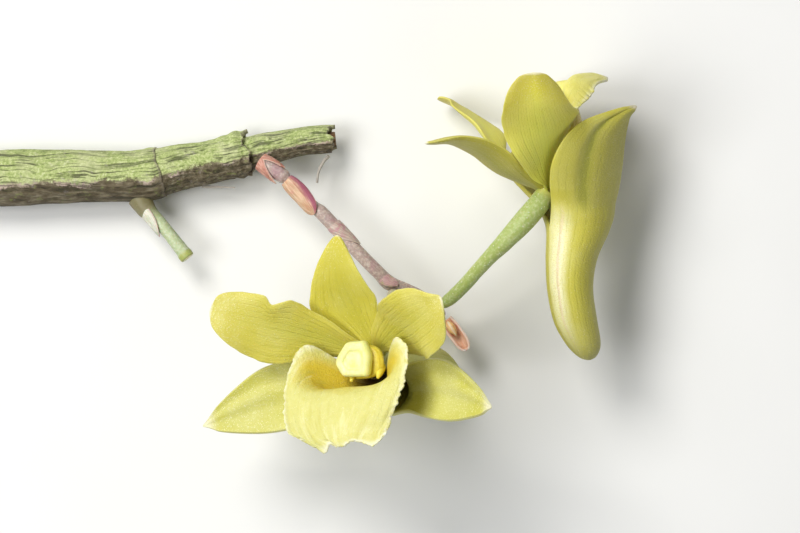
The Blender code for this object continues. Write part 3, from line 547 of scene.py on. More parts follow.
def waxy_petal(name, yellow, pale, green, veins=9, vein_share=0.4, tip_share=0.6, base=None, end=None):
    """Waxy yellow flesh: green along the middle, veins, a grain of small shiny cells with painted glints,
    painted sparkle towards the tip, and where given painted light at the base and painted shade at the tip.
    """
    look = Look(name, roughness=0.42, Specular_IOR_Level=0.45, **FLESH)
    patches = look.clouds(look.place, 0.22, 3.0)
    look.colour = look.mix(yellow, pale, look.step(patches, 0.35, 0.72) * 0.5)
    middle = look.size(look.across - 0.5)
    greening = look.step(middle, 0.34, 0.0) * look.step(look.along, 0.95, 0.1)
    look.tint(green, greening * 0.55)
    wander = look.clouds(look.joined(look.across * 3.0, look.along * 1.5), 2.0, 2.0) * 0.03
    vein = look.lines(look.across + wander, veins, 7.0) * look.step(look.along, 1.0, 0.2)
    thin = look.lines(look.across + wander * 1.6, veins * 3.1, 9.0) * look.step(look.along, 1.0, 0.35)
    vein = vein * look.patches(0.5, 2.0, 0.3, 0.6)
    look.tint(green, vein * vein_share + thin * 0.14)
    grain, fine, glint = look.skin()
    # Painted highlight: a pale sparkle painted on cells towards the tip.
    painted_tip_sparkle = look.step(look.along, 0.55, 1.0) * look.step(grain, 0.42, 0.16)
    # Painted highlight: glints painted as pale colour on some cells.
    look.tint((1.0, 0.98, 0.70), glint * 0.45)
    look.tint(yellow, look.step(fine, 0.52, 0.36) * 0.5)
    # Painted highlight: the pale sparkle towards the tip is tinted in here.
    look.tint((0.96, 0.94, 0.66), painted_tip_sparkle * 0.35)
    # Painted light: where a base colour is given, a brighter tint towards the base and the middle.
    if base:
        look.tint(base, look.step(look.along + middle * 0.8, 1.0, 0.2) * 0.8)
    # Painted shade: where an end colour is given, a darker tint towards the tip, reaching in sooner at the
    # edges.
    if end:
        painted_tip_shade = look.step(look.along + middle * 0.7, 0.75, 1.15)
        look.tint(end, painted_tip_shade * 0.6)
    rim = look.step(middle, 0.475, 0.5)
    look.tint(pale, rim * 0.5)
    tip = look.step(look.along, 0.955, 0.995)
    look.tint((0.88, 0.85, 0.70), tip * tip_share)
    relief = fine * 0.6 - grain * 0.5 - vein * 0.9 - thin * 0.35 + patches * 0.6
    rough = 0.48 - glint * 0.2 + (fine - 0.5) * 0.15
    return look.finish(relief, 0.07, rough)


def spur_flesh(name, yellow, pale, green, dark, cream):
    """The side flower's joined sepals: a green channel, painted shade over one side, a cream band on the
    spur that is partly real cream and partly a painted highlight, and painted glints.
    """
    look = Look(name, roughness=0.4, **FLESH)
    patches = look.clouds(look.place, 0.22, 3.0)
    look.colour = look.mix(yellow, pale, look.step(patches, 0.35, 0.72) * 0.5)
    blade_part = look.step(look.along, 0.5, 0.62)
    wander = (look.clouds(look.place, 0.25, 2.0) - 0.5) * 0.1
    across = look.across + wander
    # Painted shade: the dark colour mixed over one side of the joined sepals.
    look.tint(dark, look.step(across, 0.62, 0.40) * 0.45)
    channel = look.step(look.size(across - 0.57), 0.10, 0.0) * blade_part
    look.tint(green, channel * 0.85)
    # Painted shade: more of the dark colour on that side towards the blade's tip.
    shade = look.step(across, 0.45, 0.12) * look.step(look.along, 0.6, 0.9)
    look.tint(dark, shade * 0.45)
    # A cream band down the spur: partly its own pale colour and partly a painted highlight; it is also made
    # glossier.
    fade = look.step(look.along + wander * 0.8, 0.60, 0.38) * look.step(look.along, 0.02, 0.3)
    cream_band_and_highlight = look.step(look.size(across - 0.83), 0.2, 0.03) * fade
    look.tint(cream, cream_band_and_highlight * 0.8)
    streak = look.step(look.size(look.across + wander * 0.3 - 0.80), 0.03, 0.01) * fade
    look.tint((0.72, 0.50, 0.38), streak * 0.5)
    dull = look.step(look.along, 0.30, 0.05)
    look.tint((0.34, 0.32, 0.10), dull * 0.7)
    vein = look.lines(across, 11.0, 6.0) * look.patches(0.5, 2.0, 0.3, 0.6)
    look.tint(green, vein * 0.16)
    grain, fine, glint = look.skin()
    # Painted highlight: glints painted as pale colour on some cells.
    look.tint((1.0, 0.98, 0.74), glint * 0.4)
    look.tint(yellow, look.step(fine, 0.52, 0.36) * 0.4)
    tip = look.step(look.along, 0.965, 0.995)
    look.tint((0.86, 0.78, 0.66), tip * 0.7)
    relief = fine * 0.6 - grain * 0.4 - vein * 0.35 - channel * 1.2
    return look.finish(relief, 0.07, 0.46 - cream_band_and_highlight * 0.2 + (fine - 0.5) * 0.15)


def lip_flesh(name, front_tones=((0.60, 0.57, 0.14), (0.70, 0.68, 0.27))):
    """The lip: golden inside the throat with painted shade deep at its base, pale and finely pleated
    towards its fringed rim, with painted glints.
    """
    look = Look(name, roughness=0.45, **FLESH)
    side = look.size(look.across - 0.5) * 2.0
    look.colour = look.mix((0.62, 0.47, 0.035), (0.74, 0.60, 0.06), look.clouds(look.place, 0.5))
    front = look.step(look.along + (look.clouds(look.place, 0.35) - 0.5) * 0.15, 0.44, 0.64)
    rim = look.step(side, 0.80, 0.97)
    pale = look.mix(*front_tones, look.clouds(look.place, 0.9))
    look.tint(pale, front + rim - front * rim)
    # Painted shade: a near-black brown deep in the throat, at the lip's base.
    look.tint((0.10, 0.05, 0.012), look.step(look.along, 0.30, 0.16))
    flow = look.joined(look.across * 16.0, look.along * 2.5)
    pleats = look.clouds(flow, 1.2, 3.0)
    look.tint((0.55, 0.50, 0.09), look.step(pleats, 0.50, 0.68) * 0.4)
    look.tint((0.82, 0.80, 0.46), look.step(pleats, 0.44, 0.30) * 0.4)
    grain = look.cells(CELLS_PER_MM)
    fine = look.clouds(look.place, 5.0, 3.0)
    edge = look.step(side, 0.91, 1.0) + look.step(look.along, 0.945, 1.0)
    look.tint((0.86, 0.84, 0.66), edge * look.step(look.clouds(look.place, 1.1), 0.3, 0.6) * 0.7)
    # Painted highlight: glints painted as pale colour on some cells.
    glint = look.step(grain, 0.3, 0.08) * look.patches(1.6, 2.0, 0.42, 0.66)
    look.tint((1.0, 0.98, 0.80), glint * 0.45)
    relief = pleats * 2.4 - grain * 0.4 + fine * 0.6
    return look.finish(relief, 0.12, 0.48 - glint * 0.2)


def column_flesh(name, low, high, dark):
    """Smooth waxy flesh that lets more light in: the column and its cap."""
    glow = dict(Subsurface_Weight=0.3, Subsurface_Scale=0.001, Subsurface_Radius=(1.0, 0.7, 0.2))
    look = Look(name, roughness=0.3, **glow)
    cloud = look.clouds(look.place, 0.9)
    look.colour = look.mix(low, high, look.step(cloud, 0.3, 0.7))
    fine = look.cells(6.0)
    look.tint(dark, look.patches(1.6, 2.0, 0.58, 0.8) * 0.35)
    return look.finish(fine, 0.03, 0.28 + cloud * 0.2)


def smooth_stalk(name, base, light, tint, patch_share=0.4, dots=0.5, ends=()):
    """A smooth stem: streaks, mottling, patches, raised dots, and a tint wherever along it one is given."""
    look = Look(name, roughness=0.4, Subsurface_Weight=0.12, Subsurface_Scale=0.0006)
    streak = look.clouds(look.joined(look.across * 9.0, look.along * 2.5), 2.0, 4.0)
    mottle = look.clouds(look.place, 2.6, 4.0, 0.65)
    look.colour = look.mix(base, light, look.step(mottle, 0.42, 0.68) * 0.7)
    look.tint(tint, look.patches(0.4, 2.0, 0.48, 0.66) * patch_share)
    look.tint(light, look.step(streak, 0.55, 0.75) * 0.3)
    for shade, none, full, share in ends:
        look.tint(shade, look.step(look.along, none, full) * share)
    dot = look.step(look.cells(1.5), 0.16, 0.1)
    look.tint((0.88, 0.9, 0.8), dot * dots)
    relief = streak * 0.8 + dot * 0.7 + mottle * 0.5
    return look.finish(relief, 0.05, 0.34 + mottle * 0.3)


def papery(name, base, light, edge, streak_colour, edge_share=0.7, flank=None):
    """A papery bract: streaks along its length, a pale or bright rim, and fine wrinkles."""
    look = Look(name, roughness=0.5, Subsurface_Weight=0.15, Subsurface_Scale=0.0005)
    streak = look.clouds(look.joined(look.across * 12.0, look.along * 1.6), 2.0, 4.0, 0.6)
    look.colour = look.mix(base, light, look.step(streak, 0.35, 0.7))
    look.tint(streak_colour, look.patches(0.9, 3.0, 0.5, 0.72) * 0.6)
    if flank:
        look.tint(flank, look.step(look.across + (streak - 0.5) * 0.2, 0.36, 0.2) * 0.8)
    rim = look.step(look.size(look.across - 0.5), 0.41, 0.5) + look.step(look.along, 0.93, 1.0)
    look.tint(edge, rim * edge_share)
    return look.finish(streak, 0.08, 0.4 + streak * 0.3)


def dry_bark(name):
    """Dry sheath: pale algae green above, dark brown and grey below, furrowed along its length."""
    look = Look(name, roughness=0.85)
    turn = look.sine(look.across * (2 * math.pi))
    bend = look.clouds(look.place, 0.16, 2.0) * 2.2
    flow = look.joined(look.across * 22.0 + bend, look.along * 1.5)
    furrow = look.clouds(flow, 1.0, 4.0, 0.55)
    speck = look.clouds(look.place, 2.6, 5.0, 0.72)
    broad = look.clouds(look.place, 0.3, 3.0)
    bark = look.ramp(
        look.clouds(look.joined(look.across * 16.0, look.along * 9.0), 1.3, 6.0, 0.7),
        (0.28, (0.025, 0.018, 0.009)), (0.45, (0.095, 0.072, 0.036)), (0.58, (0.20, 0.165, 0.10)),
        (0.76, (0.42, 0.39, 0.28)),
    )
    moss = look.patches(1.1, 4.0, 0.56, 0.7)
    bark = look.mix(bark, (0.22, 0.25, 0.07), moss * 0.65)
    green = look.ramp(
        speck, (0.24, (0.10, 0.13, 0.035)), (0.42, (0.30, 0.38, 0.11)), (0.56, (0.48, 0.54, 0.22)),
        (0.76, (0.72, 0.76, 0.50)),
    )
    green = look.mix(green, (0.55, 0.56, 0.32), look.step(broad, 0.45, 0.7) * 0.6)
    deep = look.patches(0.6, 4.0, 0.55, 0.72)
    green = look.mix(green, (0.16, 0.22, 0.04), deep * 0.5)
    side = turn * -1.0 + (broad - 0.5) * 0.9 + (speck - 0.5) * 0.6
    algae = look.step(side, -0.30, -0.10)
    edge = look.step(look.size(side + 0.24), 0.1, 0.0)
    look.colour = look.mix(bark, green, algae)
    look.tint((0.66, 0.50, 0.44), edge * look.step(broad, 0.4, 0.6) * 0.7)
    groove = look.step(furrow, 0.42, 0.33)
    look.tint((0.03, 0.03, 0.012), groove * 0.75)
    crack = look.step(look.size(furrow - 0.5), 0.018, 0.004) * look.step(broad, 0.35, 0.6)
    look.tint((0.06, 0.06, 0.02), crack * 0.8)
    stain = look.patches(0.7, 4.0, 0.62, 0.74)
    look.tint((0.42, 0.36, 0.34), stain * 0.4)
    ends = look.step(look.size(look.along - 0.5), 0.485, 0.5)
    look.tint((0.30, 0.25, 0.19), ends * 0.6)
    relief = furrow * 1.5 + speck * 0.35 - groove * 0.8 - crack * 0.8
    return look.finish(relief, 0.22, 0.78 + (speck - 0.5) * 0.3)


def fibrous(name, base, light):
    """Dry wood or fibre with fine strands."""
    look = Look(name, roughness=0.75)
    strand = look.clouds(look.joined(look.across * 10.0, look.along * 3.0), 2.0, 4.0, 0.6)
    look.colour = look.mix(base, light, look.step(strand, 0.35, 0.65))
    return look.finish(strand, 0.05, 0.6 + strand * 0.3)


# Shapes


def along_cane(x):
    """The cane's axis at distances x along it."""
    path = curve(CANE_PATH, np.linspace(0, 1, 200))
    y, z = (np.interp(x, path[:, 0], path[:, axis]) for axis in (1, 2))
    return np.column_stack([x, y, z])


def ribbed(x, angle, depth):
    """Shallow lengthwise ridges that drift round the cane."""
    ridges = 0.5 * np.cos(4 * angle + 0.05 * x) + 0.5 * np.cos(7 * angle - 1.3 + 0.08 * x)
    return 1 + depth * ridges


def rod(name, line, radii, sides, rough=0.0, grain=1.0):
    """A closed rod along a path, with slightly rounded ends and an uneven skin."""
    line = np.asarray(line, float)
    radii = np.asarray(radii, float)
    up, level = ring_frames(line)
    angles = np.linspace(0, 2 * math.pi, sides, endpoint=False)
    ways = np.cos(angles)[None, :, None] * up[:, None] + np.sin(angles)[None, :, None] * level[:, None]
    rings = line[:, None] + radii[:, None, None] * ways
    if rough:
        shake = uneven(rings.reshape(-1, 3), grain).reshape(len(line), sides, 1)
        rings = rings + rough * shake * ways
    ends = []
    for i, way in ((0, 1.0), (-1, -1.0)):
        inward = way * tangents(line)[i] * min(0.12, radii[i] * 0.3)
        cap = [line[i] + (rings[i] - line[i]) * share for share in (0.0, 0.55, 0.9)]
        ends.append((cap, inward))
    start, end = ends[0][0], ends[1][0][::-1]
    rings[0] = rings[0] + ends[0][1]
    rings[-1] = rings[-1] + ends[1][1]
    return wrapped(name, np.concatenate([start, rings, end]))


def cane_sheath(name, keys, rows, sides, fray_length, wrinkle=(0.0, 1.0, 0.0), depth=0.03):
    """A dry leaf sheath: a furrowed tube round the cane, frayed at its upper end."""
    x = np.linspace(keys[0][0], keys[-1][0], rows)
    line = along_cane(x)
    up, level = ring_frames(line)
    along = tangents(line)
    amount, spacing, centre = wrinkle
    angle = 2 * math.pi * np.arange(sides) / sides
    share = np.linspace(0, 1, rows)[:, None]
    tooth = np.sin(3 * angle + 0.7) + 0.6 * np.sin(8 * angle + 1.9)
    fray = 0.5 * np.sin(23 * angle + 1.0) + 0.4 * np.sin(37 * angle)
    shift = fray_length * (tooth + 0.35 * fray) * share**4
    fold = amount * np.sin(2 * math.pi * x[:, None] / spacing + 1.5 * np.sin(2 * angle))
    fold = fold * np.exp(-(((x[:, None] - centre) / 2.2) ** 2))
    radius = eased(keys, x)[:, None] * ribbed(x[:, None], angle[None], depth) + fold
    flow = np.array([(0.22 * a, 1.6 * math.cos(t), 1.6 * math.sin(t)) for a in x for t in angle])
    fine = np.array([noise.fractal(tuple(p), 0.7, 2.1, 4) for p in flow]).reshape(rows, sides)
    radius = radius + SHEATH_RELIEF * (np.clip(fine, -0.8, 0.35) - 0.2)
    way = np.cos(angle)[None, :, None] * up[:, None] + np.sin(angle)[None, :, None] * level[:, None]
    rings = line[:, None] + shift[..., None] * along[:, None] + radius[..., None] * way
    rings[..., 2] = np.maximum(rings[..., 2], 0.0)
    piece = wrapped(name, rings)
    finish_with(piece, "SOLIDIFY", thickness=SHEATH_WALL * MM, offset=-1.0)
    return piece


def clasp(name, path, radius, turn, cover, rows=37, cols=27, ragged=0.0, thickness=0.3):
    """A bract that clasps a stalk: radius and half-angle of cover are keys along its length."""
    at = np.linspace(0, 1, rows)
    line = curve(path, at)
    up, level = ring_frames(line)
    along = tangents(line)
    half = np.radians(eased(cover, at))[:, None]
    across = np.linspace(-1, 1, cols)[None]
    angle = math.radians(turn) + half * across
    r = eased(radius, at)[:, None]
    tooth = ragged * at[:, None] ** 3 * (np.sin(across * 11) + 0.5 * np.sin(across * 27 + 1))
    way = np.cos(angle)[..., None] * up[:, None] + np.sin(angle)[..., None] * level[:, None]
    points = line[:, None] + tooth[..., None] * along[:, None] + r[..., None] * way
    piece = laid_grid(name, points)
    thicken(piece, thickness, rim=0.45)
    return piece


class Flower:
    """A flower's place: its junction and its right, dorsal and forward directions."""

    def __init__(self, prefix, junction, forward, dorsal):
        self.prefix = prefix
        self.junction = np.array(junction, float)
        self.forward = unit(forward)
        self.right = unit(np.cross(dorsal, self.forward))
        self.dorsal = np.cross(self.forward, self.right)

    def place(self, points):
        turn = np.array([self.right, self.dorsal, self.forward])
        return self.junction + np.asarray(points, float) @ turn


def blade(spine, face, right, left, rows, cols, cup, fold, edge, wave=0.0):
    """The middle surface of a petal or sepal, in the flower's directions, its root reaching inward."""
    at = 1 - (1 - np.linspace(0, 1, rows)) ** 1.25
    line = curve(spine, at)
    along = tangents(line)
    points = np.zeros((rows, cols, 3))
    for i in range(rows):
        facing = np.array(face[0]) * (1 - at[i]) + np.array(face[-1]) * at[i]
        side = unit(np.cross(along[i], facing))
        rise = np.cross(side, along[i])
        swell = math.sin(math.pi * min(1.0, at[i] * 1.05))
        for j in range(cols):
            v = 2 * j / (cols - 1) - 1
            half = float(eased(right if v > 0 else left, at[i]))
            half *= math.sqrt(max(0.01, 1 - max(0.0, (at[i] - TIP_START) / TIP_LENGTH) ** 2))
            height = cup * v * v * swell + fold * math.sqrt(v * v + 0.01) * swell
            height += wave * v * v * math.sin(2 * math.pi * PETAL_WAVES * at[i] + (0.6 if v > 0 else 2.4))
            height += edge * v**6 * math.sin(31 * at[i] + 5 * v) * swell
            height *= min(1.0, half / 3.0)
            nick = edge * abs(v) ** 8 * (math.sin(47 * at[i] + v) + math.sin(83 * at[i] - 2 * v)) * 0.5
            points[i, j] = line[i] + v * (half + nick * swell) * side + height * rise
    root = []
    for share in (0.0, 0.25, 0.5, 0.75):
        centre = line[0] * (0.35 + 0.65 * share)
        root.append(centre + (points[0] - line[0]) * (0.5 + 0.5 * share))
    return np.concatenate([root, points])


def lateral_pair(stations, shifts, rows, cols):
    """The middle surfaces of the two lateral sepals, which are grown together into the spur."""
    at = np.linspace(0, 1, rows)
    read = between(stations, at)
    middle = (read[:, :3] + read[:, 3:6]) / 2
    chord = read[:, :3] - read[:, 3:6]
    along = np.gradient(middle, axis=0)
    outward = np.cross(chord, along)
    outward /= np.maximum(np.linalg.norm(outward, axis=1), 1e-6)[:, None]
    for _ in range(60):
        outward[1:-1] = (outward[:-2] + 2 * outward[1:-1] + outward[2:]) / 4
    chord *= np.sqrt(np.clip((1 - at) * 28, 0.03, 1))[:, None]
    halves = []
    for sign, (shift, drop) in ((1, shifts[0]), (-1, shifts[1])):
        points = np.zeros((rows, cols, 3))
        for i in range(rows):
            swell, flat = read[i, 6:]
            share = max(0.0, (at[i] - 0.55) / 0.45)
            lean = np.array(shift) * share**1.5
            droop = drop * math.sin(math.pi * share**0.8)
            for j in range(cols):
                angle = math.pi * j / (cols - 1)
                arc = (1 - flat) * math.sin(angle) + flat * math.sin(angle) ** 2
                p = middle[i] + chord[i] / 2 * math.cos(angle) + outward[i] * swell * arc + lean
                p[0] = 0.0 if p[0] < 0.06 else p[0]
                p[1] -= droop * (1 + math.cos(angle)) / 2
                valley = math.exp(-(((j / (cols - 1) - 0.44) / 0.09) ** 2))
                valley *= min(1.0, max(0.0, share * 2.5 - 0.1))
                p -= outward[i] * VALLEY_DEPTH * valley * min(1.0, (1 - at[i]) * 9)
                points[i, j] = p * (sign, 1, 1)
        halves.append(points if sign > 0 else points[:, ::-1])
    return halves


def lip_sheet(form, rows, cols):
    """The lip's middle surface: a trough whose rim turns out into a broad fringed front."""
    at = np.linspace(0, 1, rows)
    read = between(form["lip"], at)
    across = np.linspace(-1, 1, cols)
    right = np.clip(across, 0, 1)
    points = np.zeros((rows, cols, 3))
    for i in range(rows):
        middle, knee, rim = read[i, :3], read[i, 3:6], read[i, 6:]
        mirror = np.array((-1, 1, 1))
        section = smooth([-1, -0.62, 0, 0.62, 1], [rim * mirror, knee * mirror, middle, knee, rim], across)
        near_front = max(0.0, (at[i] - 0.8) / 0.2) ** 2
        outer = np.abs(across) ** 14
        teeth = math.sin(173 * at[i]) * (0.5 + 0.5 * math.sin(19 * at[i]))
        teeth += 0.7 * math.sin(301 * at[i] + 1) + 0.6 * math.sin(67 * at[i])
        grow = min(1.0, max(0.0, (at[i] - 0.35) * 6))
        section[:, 0] += np.sign(across) * outer * 0.17 * teeth * grow
        section[:, 0] += form.get("lip_shift", 0.0) * min(1.0, max(0.0, at[i] * 2 - 0.6))
        drop = form.get("right_drop", 0.0) * math.exp(-(((at[i] - 0.2) / 0.1) ** 2))
        section[:, 1] -= drop * right**2
        fringe = np.sin(across * 97) + 0.6 * np.sin(across * 171 + 1)
        section[:, 1] -= near_front * (eased(form["apex"], across) + 0.12 * at[i] ** 30 * fringe)
        tip = form.get("tip_shift", 0.0) + form.get("tip_spread", 0.0) * right**1.5
        section[:, 0] += near_front * tip
        trim = form.get("right_trim", 0.0) * math.exp(-(((at[i] - 0.86) / 0.09) ** 2))
        spread = form.get("right_spread", 0.0) * math.exp(-(((at[i] - 0.54) / 0.13) ** 2))
        section[:, 0] += (spread - trim) * right**2
        section[:, 2] += 0.1 * grow * np.abs(across) ** 3 * np.sin(38 * at[i] + 4 * across)
        points[i] = section
    return points


def soft_polygon(edges, angle):
    """How far a polygon with rounded corners reaches, from (facing in degrees, distance) of its edges."""
    power = 16
    total = sum(np.maximum(0, np.cos(angle - math.radians(way)) / reach) ** power for way, reach in edges)
    return total ** (-1 / power)


def lofted(name, flower, sections, sides, rows, outline=None):
    """A closed body through sections of centre, direction, half-width, half-height and squareness."""
    keys = np.linspace(0, 1, len(sections))
    read = smooth(keys, [np.hstack([c, d, w, h, s]) for c, d, w, h, s in sections], np.linspace(0, 1, rows))
    angle = 2 * math.pi * (np.arange(sides) + 0.5) / sides
    c, s = np.cos(angle), np.sin(angle)
    rings = []
    for row in read:
        centre, way, wide, high, square = row[:3], unit(row[3:6]), row[6], row[7], row[8]
        across = np.array((1.0, 0.0, 0.0))
        upward = np.cross(way, across)
        if outline:
            grow = soft_polygon(outline, angle)
        else:
            grow = (np.abs(c) ** square + np.abs(s) ** square) ** (-1 / square)
        ring = centre + np.outer(wide * c * grow, across) + np.outer(high * s * grow, upward)
        rings.append(ring)
    first, last = rings[0], rings[-1]
    start = [first.mean(axis=0) + (first - first.mean(axis=0)) * k for k in (0.0, 0.5)]
    end = [last.mean(axis=0) + (last - last.mean(axis=0)) * k for k in (0.5, 0.0)]
    rings = np.array(start + rings + end)
    return wrapped(name, flower.place(rings.reshape(-1, 3)).reshape(rings.shape))


# The cane


def build_cane():
    """The old cane in its three sheaths, the cut stub with its bract, and two loose fibres."""
    bark = dry_bark("bark_green_and_grey")
    x = np.linspace(-36.0, 26.2, 90)
    wood = fibrous("cane_wood", (0.06, 0.03, 0.012), (0.30, 0.15, 0.05))
    core = rod("cane_core", along_cane(x), eased(CANE_RADIUS, x), 40, 0.05, 0.8)
    shown(core, "cane", wood)
    lower = cane_sheath("lower_sheath", LOWER_SHEATH, 150, 120, 0.12, depth=0.02)
    shown(lower, "sheath_lower", bark)
    middle = cane_sheath("middle_sheath", MIDDLE_SHEATH, 90, 120, 0.35, wrinkle=(0.12, 1.7, 13.0))
    shown(middle, "sheath_middle", bark)
    upper = cane_sheath("upper_sheath", UPPER_SHEATH, 90, 104, 0.4)
    shown(upper, "sheath_upper", bark)
    at = np.linspace(0, 1, 60)
    line = curve([(-1.6, -3.3, 3.9), *STUB_PATH], at)
    width = np.interp(at, [0, 0.2, 0.32, 0.6, 0.9, 0.94, 1], [1.7, 1.35, 1.0, 0.9, 0.98, 1.08, 1.02])
    stub = rod("cut_stub", line, width, 36, 0.03, 0.8)
    tones = ((0.42, 0.49, 0.26), (0.62, 0.67, 0.50), (0.32, 0.40, 0.14))
    # The first tint is painted shadow where the stub comes out from under the cane; the olive ring and the
    # cream cut face are the stub's own colours.
    ends = [
        ((0.16, 0.12, 0.05), 0.42, 0.2, 0.85), ((0.34, 0.38, 0.06), 0.86, 0.9, 0.75),
        ((0.82, 0.78, 0.52), 0.965, 0.98, 0.9),
    ]
    pale_green = smooth_stalk("stub_skin", *tones, patch_share=0.4, dots=0.1, ends=ends)
    shown(stub, "old_stub", pale_green)
    cover = [(0, 100), (0.5, 75), (0.85, 40), (1, 8)]
    bract = clasp("stub_wrap", STUB_PATH[:3], [(0, 1.1), (0.4, 1.25), (1, 1.3)], 75, cover)
    tones = ((0.55, 0.56, 0.42), (0.78, 0.76, 0.66), (0.62, 0.42, 0.38), (0.44, 0.50, 0.28))
    whitish = papery("white_wrap", *tones)
    shown(bract, "stub_bract", whitish)
    dry = fibrous("dry_grey_fibre", (0.26, 0.23, 0.19), (0.55, 0.51, 0.45))
    at = np.linspace(0, 1, 40)
    fibre = rod("curled_fibre", curve(FIBRE_PATH, at), 0.25 - 0.1 * at, 16, 0.03, 0.5)
    shown(fibre, "tip_fibre", dry)
    splinter = rod("underside_splinter", curve(SPLINTER_PATH, at), 0.22 - 0.12 * at, 14, 0.03, 0.5)
    shown(splinter, "splinter", dry)


# The flower stalk and its bracts


def build_stalk():
    """The flower stalk, the bracts along it and the scale at its end."""
    mauve = smooth_stalk("mauve_skin", (0.38, 0.28, 0.25), (0.66, 0.57, 0.50), (0.40, 0.15, 0.24), 0.3, 0.2)
    at = np.r_[np.linspace(0, 0.11, 12), 0.12, 0.128, 0.135, np.linspace(0.145, 1, 170)]
    line = curve(RACHIS_PATH, at)
    stalk = rod("flower_stalk", line, eased(RACHIS_RADIUS, at), 32, 0.03, 0.9)
    shown(stalk, "rachis", mauve)
    tones = ((0.44, 0.17, 0.11), (0.70, 0.42, 0.33), (0.74, 0.56, 0.46), (0.42, 0.12, 0.10))
    rusty = papery("rusty_bract", *tones)
    outer_cover = [(0, 130), (0.4, 70), (0.7, 36), (1, 10)]
    wide = [(0, 1.12), (0.3, 1.25), (0.7, 1.32), (1, 1.4)]
    outer = clasp("outer_base_wrap", BASE_BRACT_PATH, wide, 75, outer_cover, ragged=0.5)
    shown(outer, "base_bract_outer", rusty)
    inner_cover = [(0, 60), (0.5, 26), (1, 6)]
    wide = [(0, 1.15), (0.4, 1.3), (1, 1.35)]
    inner = clasp("inner_base_wrap", BASE_BRACT_PATH, wide, -66, inner_cover, 35, 21, ragged=0.3)
    shown(inner, "base_bract_inner", rusty)
    tones = ((0.52, 0.30, 0.17), (0.78, 0.56, 0.38), (0.80, 0.46, 0.38), (0.60, 0.24, 0.20))
    peach = papery("peach_bract_skin", *tones, edge_share=0.6, flank=(0.36, 0.05, 0.16))
    cover = [(0, 170), (0.15, 150), (0.5, 110), (0.8, 80), (0.93, 48), (1, 10)]
    wide = [(0, 0.8), (0.12, 1.05), (0.4, 1.2), (0.8, 1.2), (1, 1.05)]
    spathe = clasp("long_peach_bract", SPATHE_PATH, wide, 35, cover)
    shown(spathe, "spathe_bract", peach)
    tones = ((0.40, 0.28, 0.24), (0.62, 0.52, 0.44), (0.70, 0.60, 0.50), (0.46, 0.14, 0.24))
    pale = papery("pale_sheath_skin", *tones)
    cover = [(0, 175), (0.25, 130), (0.7, 60), (1, 8)]
    wide = [(0, 0.98), (0.15, 1.08), (0.5, 1.12), (1, 1.06)]
    small = clasp("diagonal_sheath", SMALL_SHEATH_PATH, wide, -70, cover, thickness=0.22)
    shown(small, "small_sheath", pale)
    tones = ((0.48, 0.24, 0.27), (0.62, 0.46, 0.40), (0.66, 0.52, 0.36), (0.34, 0.40, 0.13))
    pink = papery("pink_bract_skin", *tones)
    cover = [(0, 85), (0.5, 52), (0.85, 26), (1, 7)]
    wide = [(0, 0.9), (0.3, 1.1), (0.7, 1.25), (1, 1.2)]
    floral = clasp("pink_bract", FLORAL_BRACT_PATH, wide, -42, cover)
    shown(floral, "floral_bract", pink)
    tones = ((0.74, 0.36, 0.22), (0.84, 0.58, 0.42), (0.92, 0.80, 0.74), (0.58, 0.20, 0.10))
    rosy = papery("rosy_bract_skin", *tones, edge_share=0.6)
    cover = [(0, 95), (0.4, 82), (0.75, 74), (0.93, 60), (1, 32)]
    wide = [(0, 0.65), (0.3, 0.98), (0.7, 0.98), (0.92, 0.74), (1, 0.42)]
    spoon = clasp("end_bract", SPOON_PATH, wide, 180, cover, thickness=0.5)
    shown(spoon, "terminal_bract", rosy)
    at = np.linspace(0, 1, 40)
    width = [(0, 0.3), (0.2, 0.5), (0.4, 0.6), (0.6, 0.56), (0.8, 0.36), (1, 0.08)]
    scale = rod("end_scale", curve(SCALE_PATH, at), eased(width, at), 24, 0.03, 0.6)
    tones = ((0.78, 0.38, 0.10), (0.90, 0.66, 0.34), (0.92, 0.8, 0.6), (0.40, 0.14, 0.05))
    amber = papery("amber_scale_skin", *tones)
    shown(scale, "terminal_scale", amber)


def pedicel(flower, start, look):
    """A green stalk that widens into the ovary and meets the flower from behind its dorsal side."""
    end = flower.place([(0, 0.2, -0.2)])[0]
    behind = flower.place([(0, 2.84, -3.2)])[0]
    at = np.linspace(0, 1, 110)
    width = [(0, 0.7), (0.07, 0.92), (0.4, 0.98), (0.6, 1.25), (0.8, 1.52), (1, 1.5)]
    line = curve([*start, behind, end], at)
    made = rod(flower.prefix + "ovary_stalk", line, eased(width, at), 36, 0.035, 1.4)
    shown(made, flower.prefix + "pedicel", look)


# The flowers


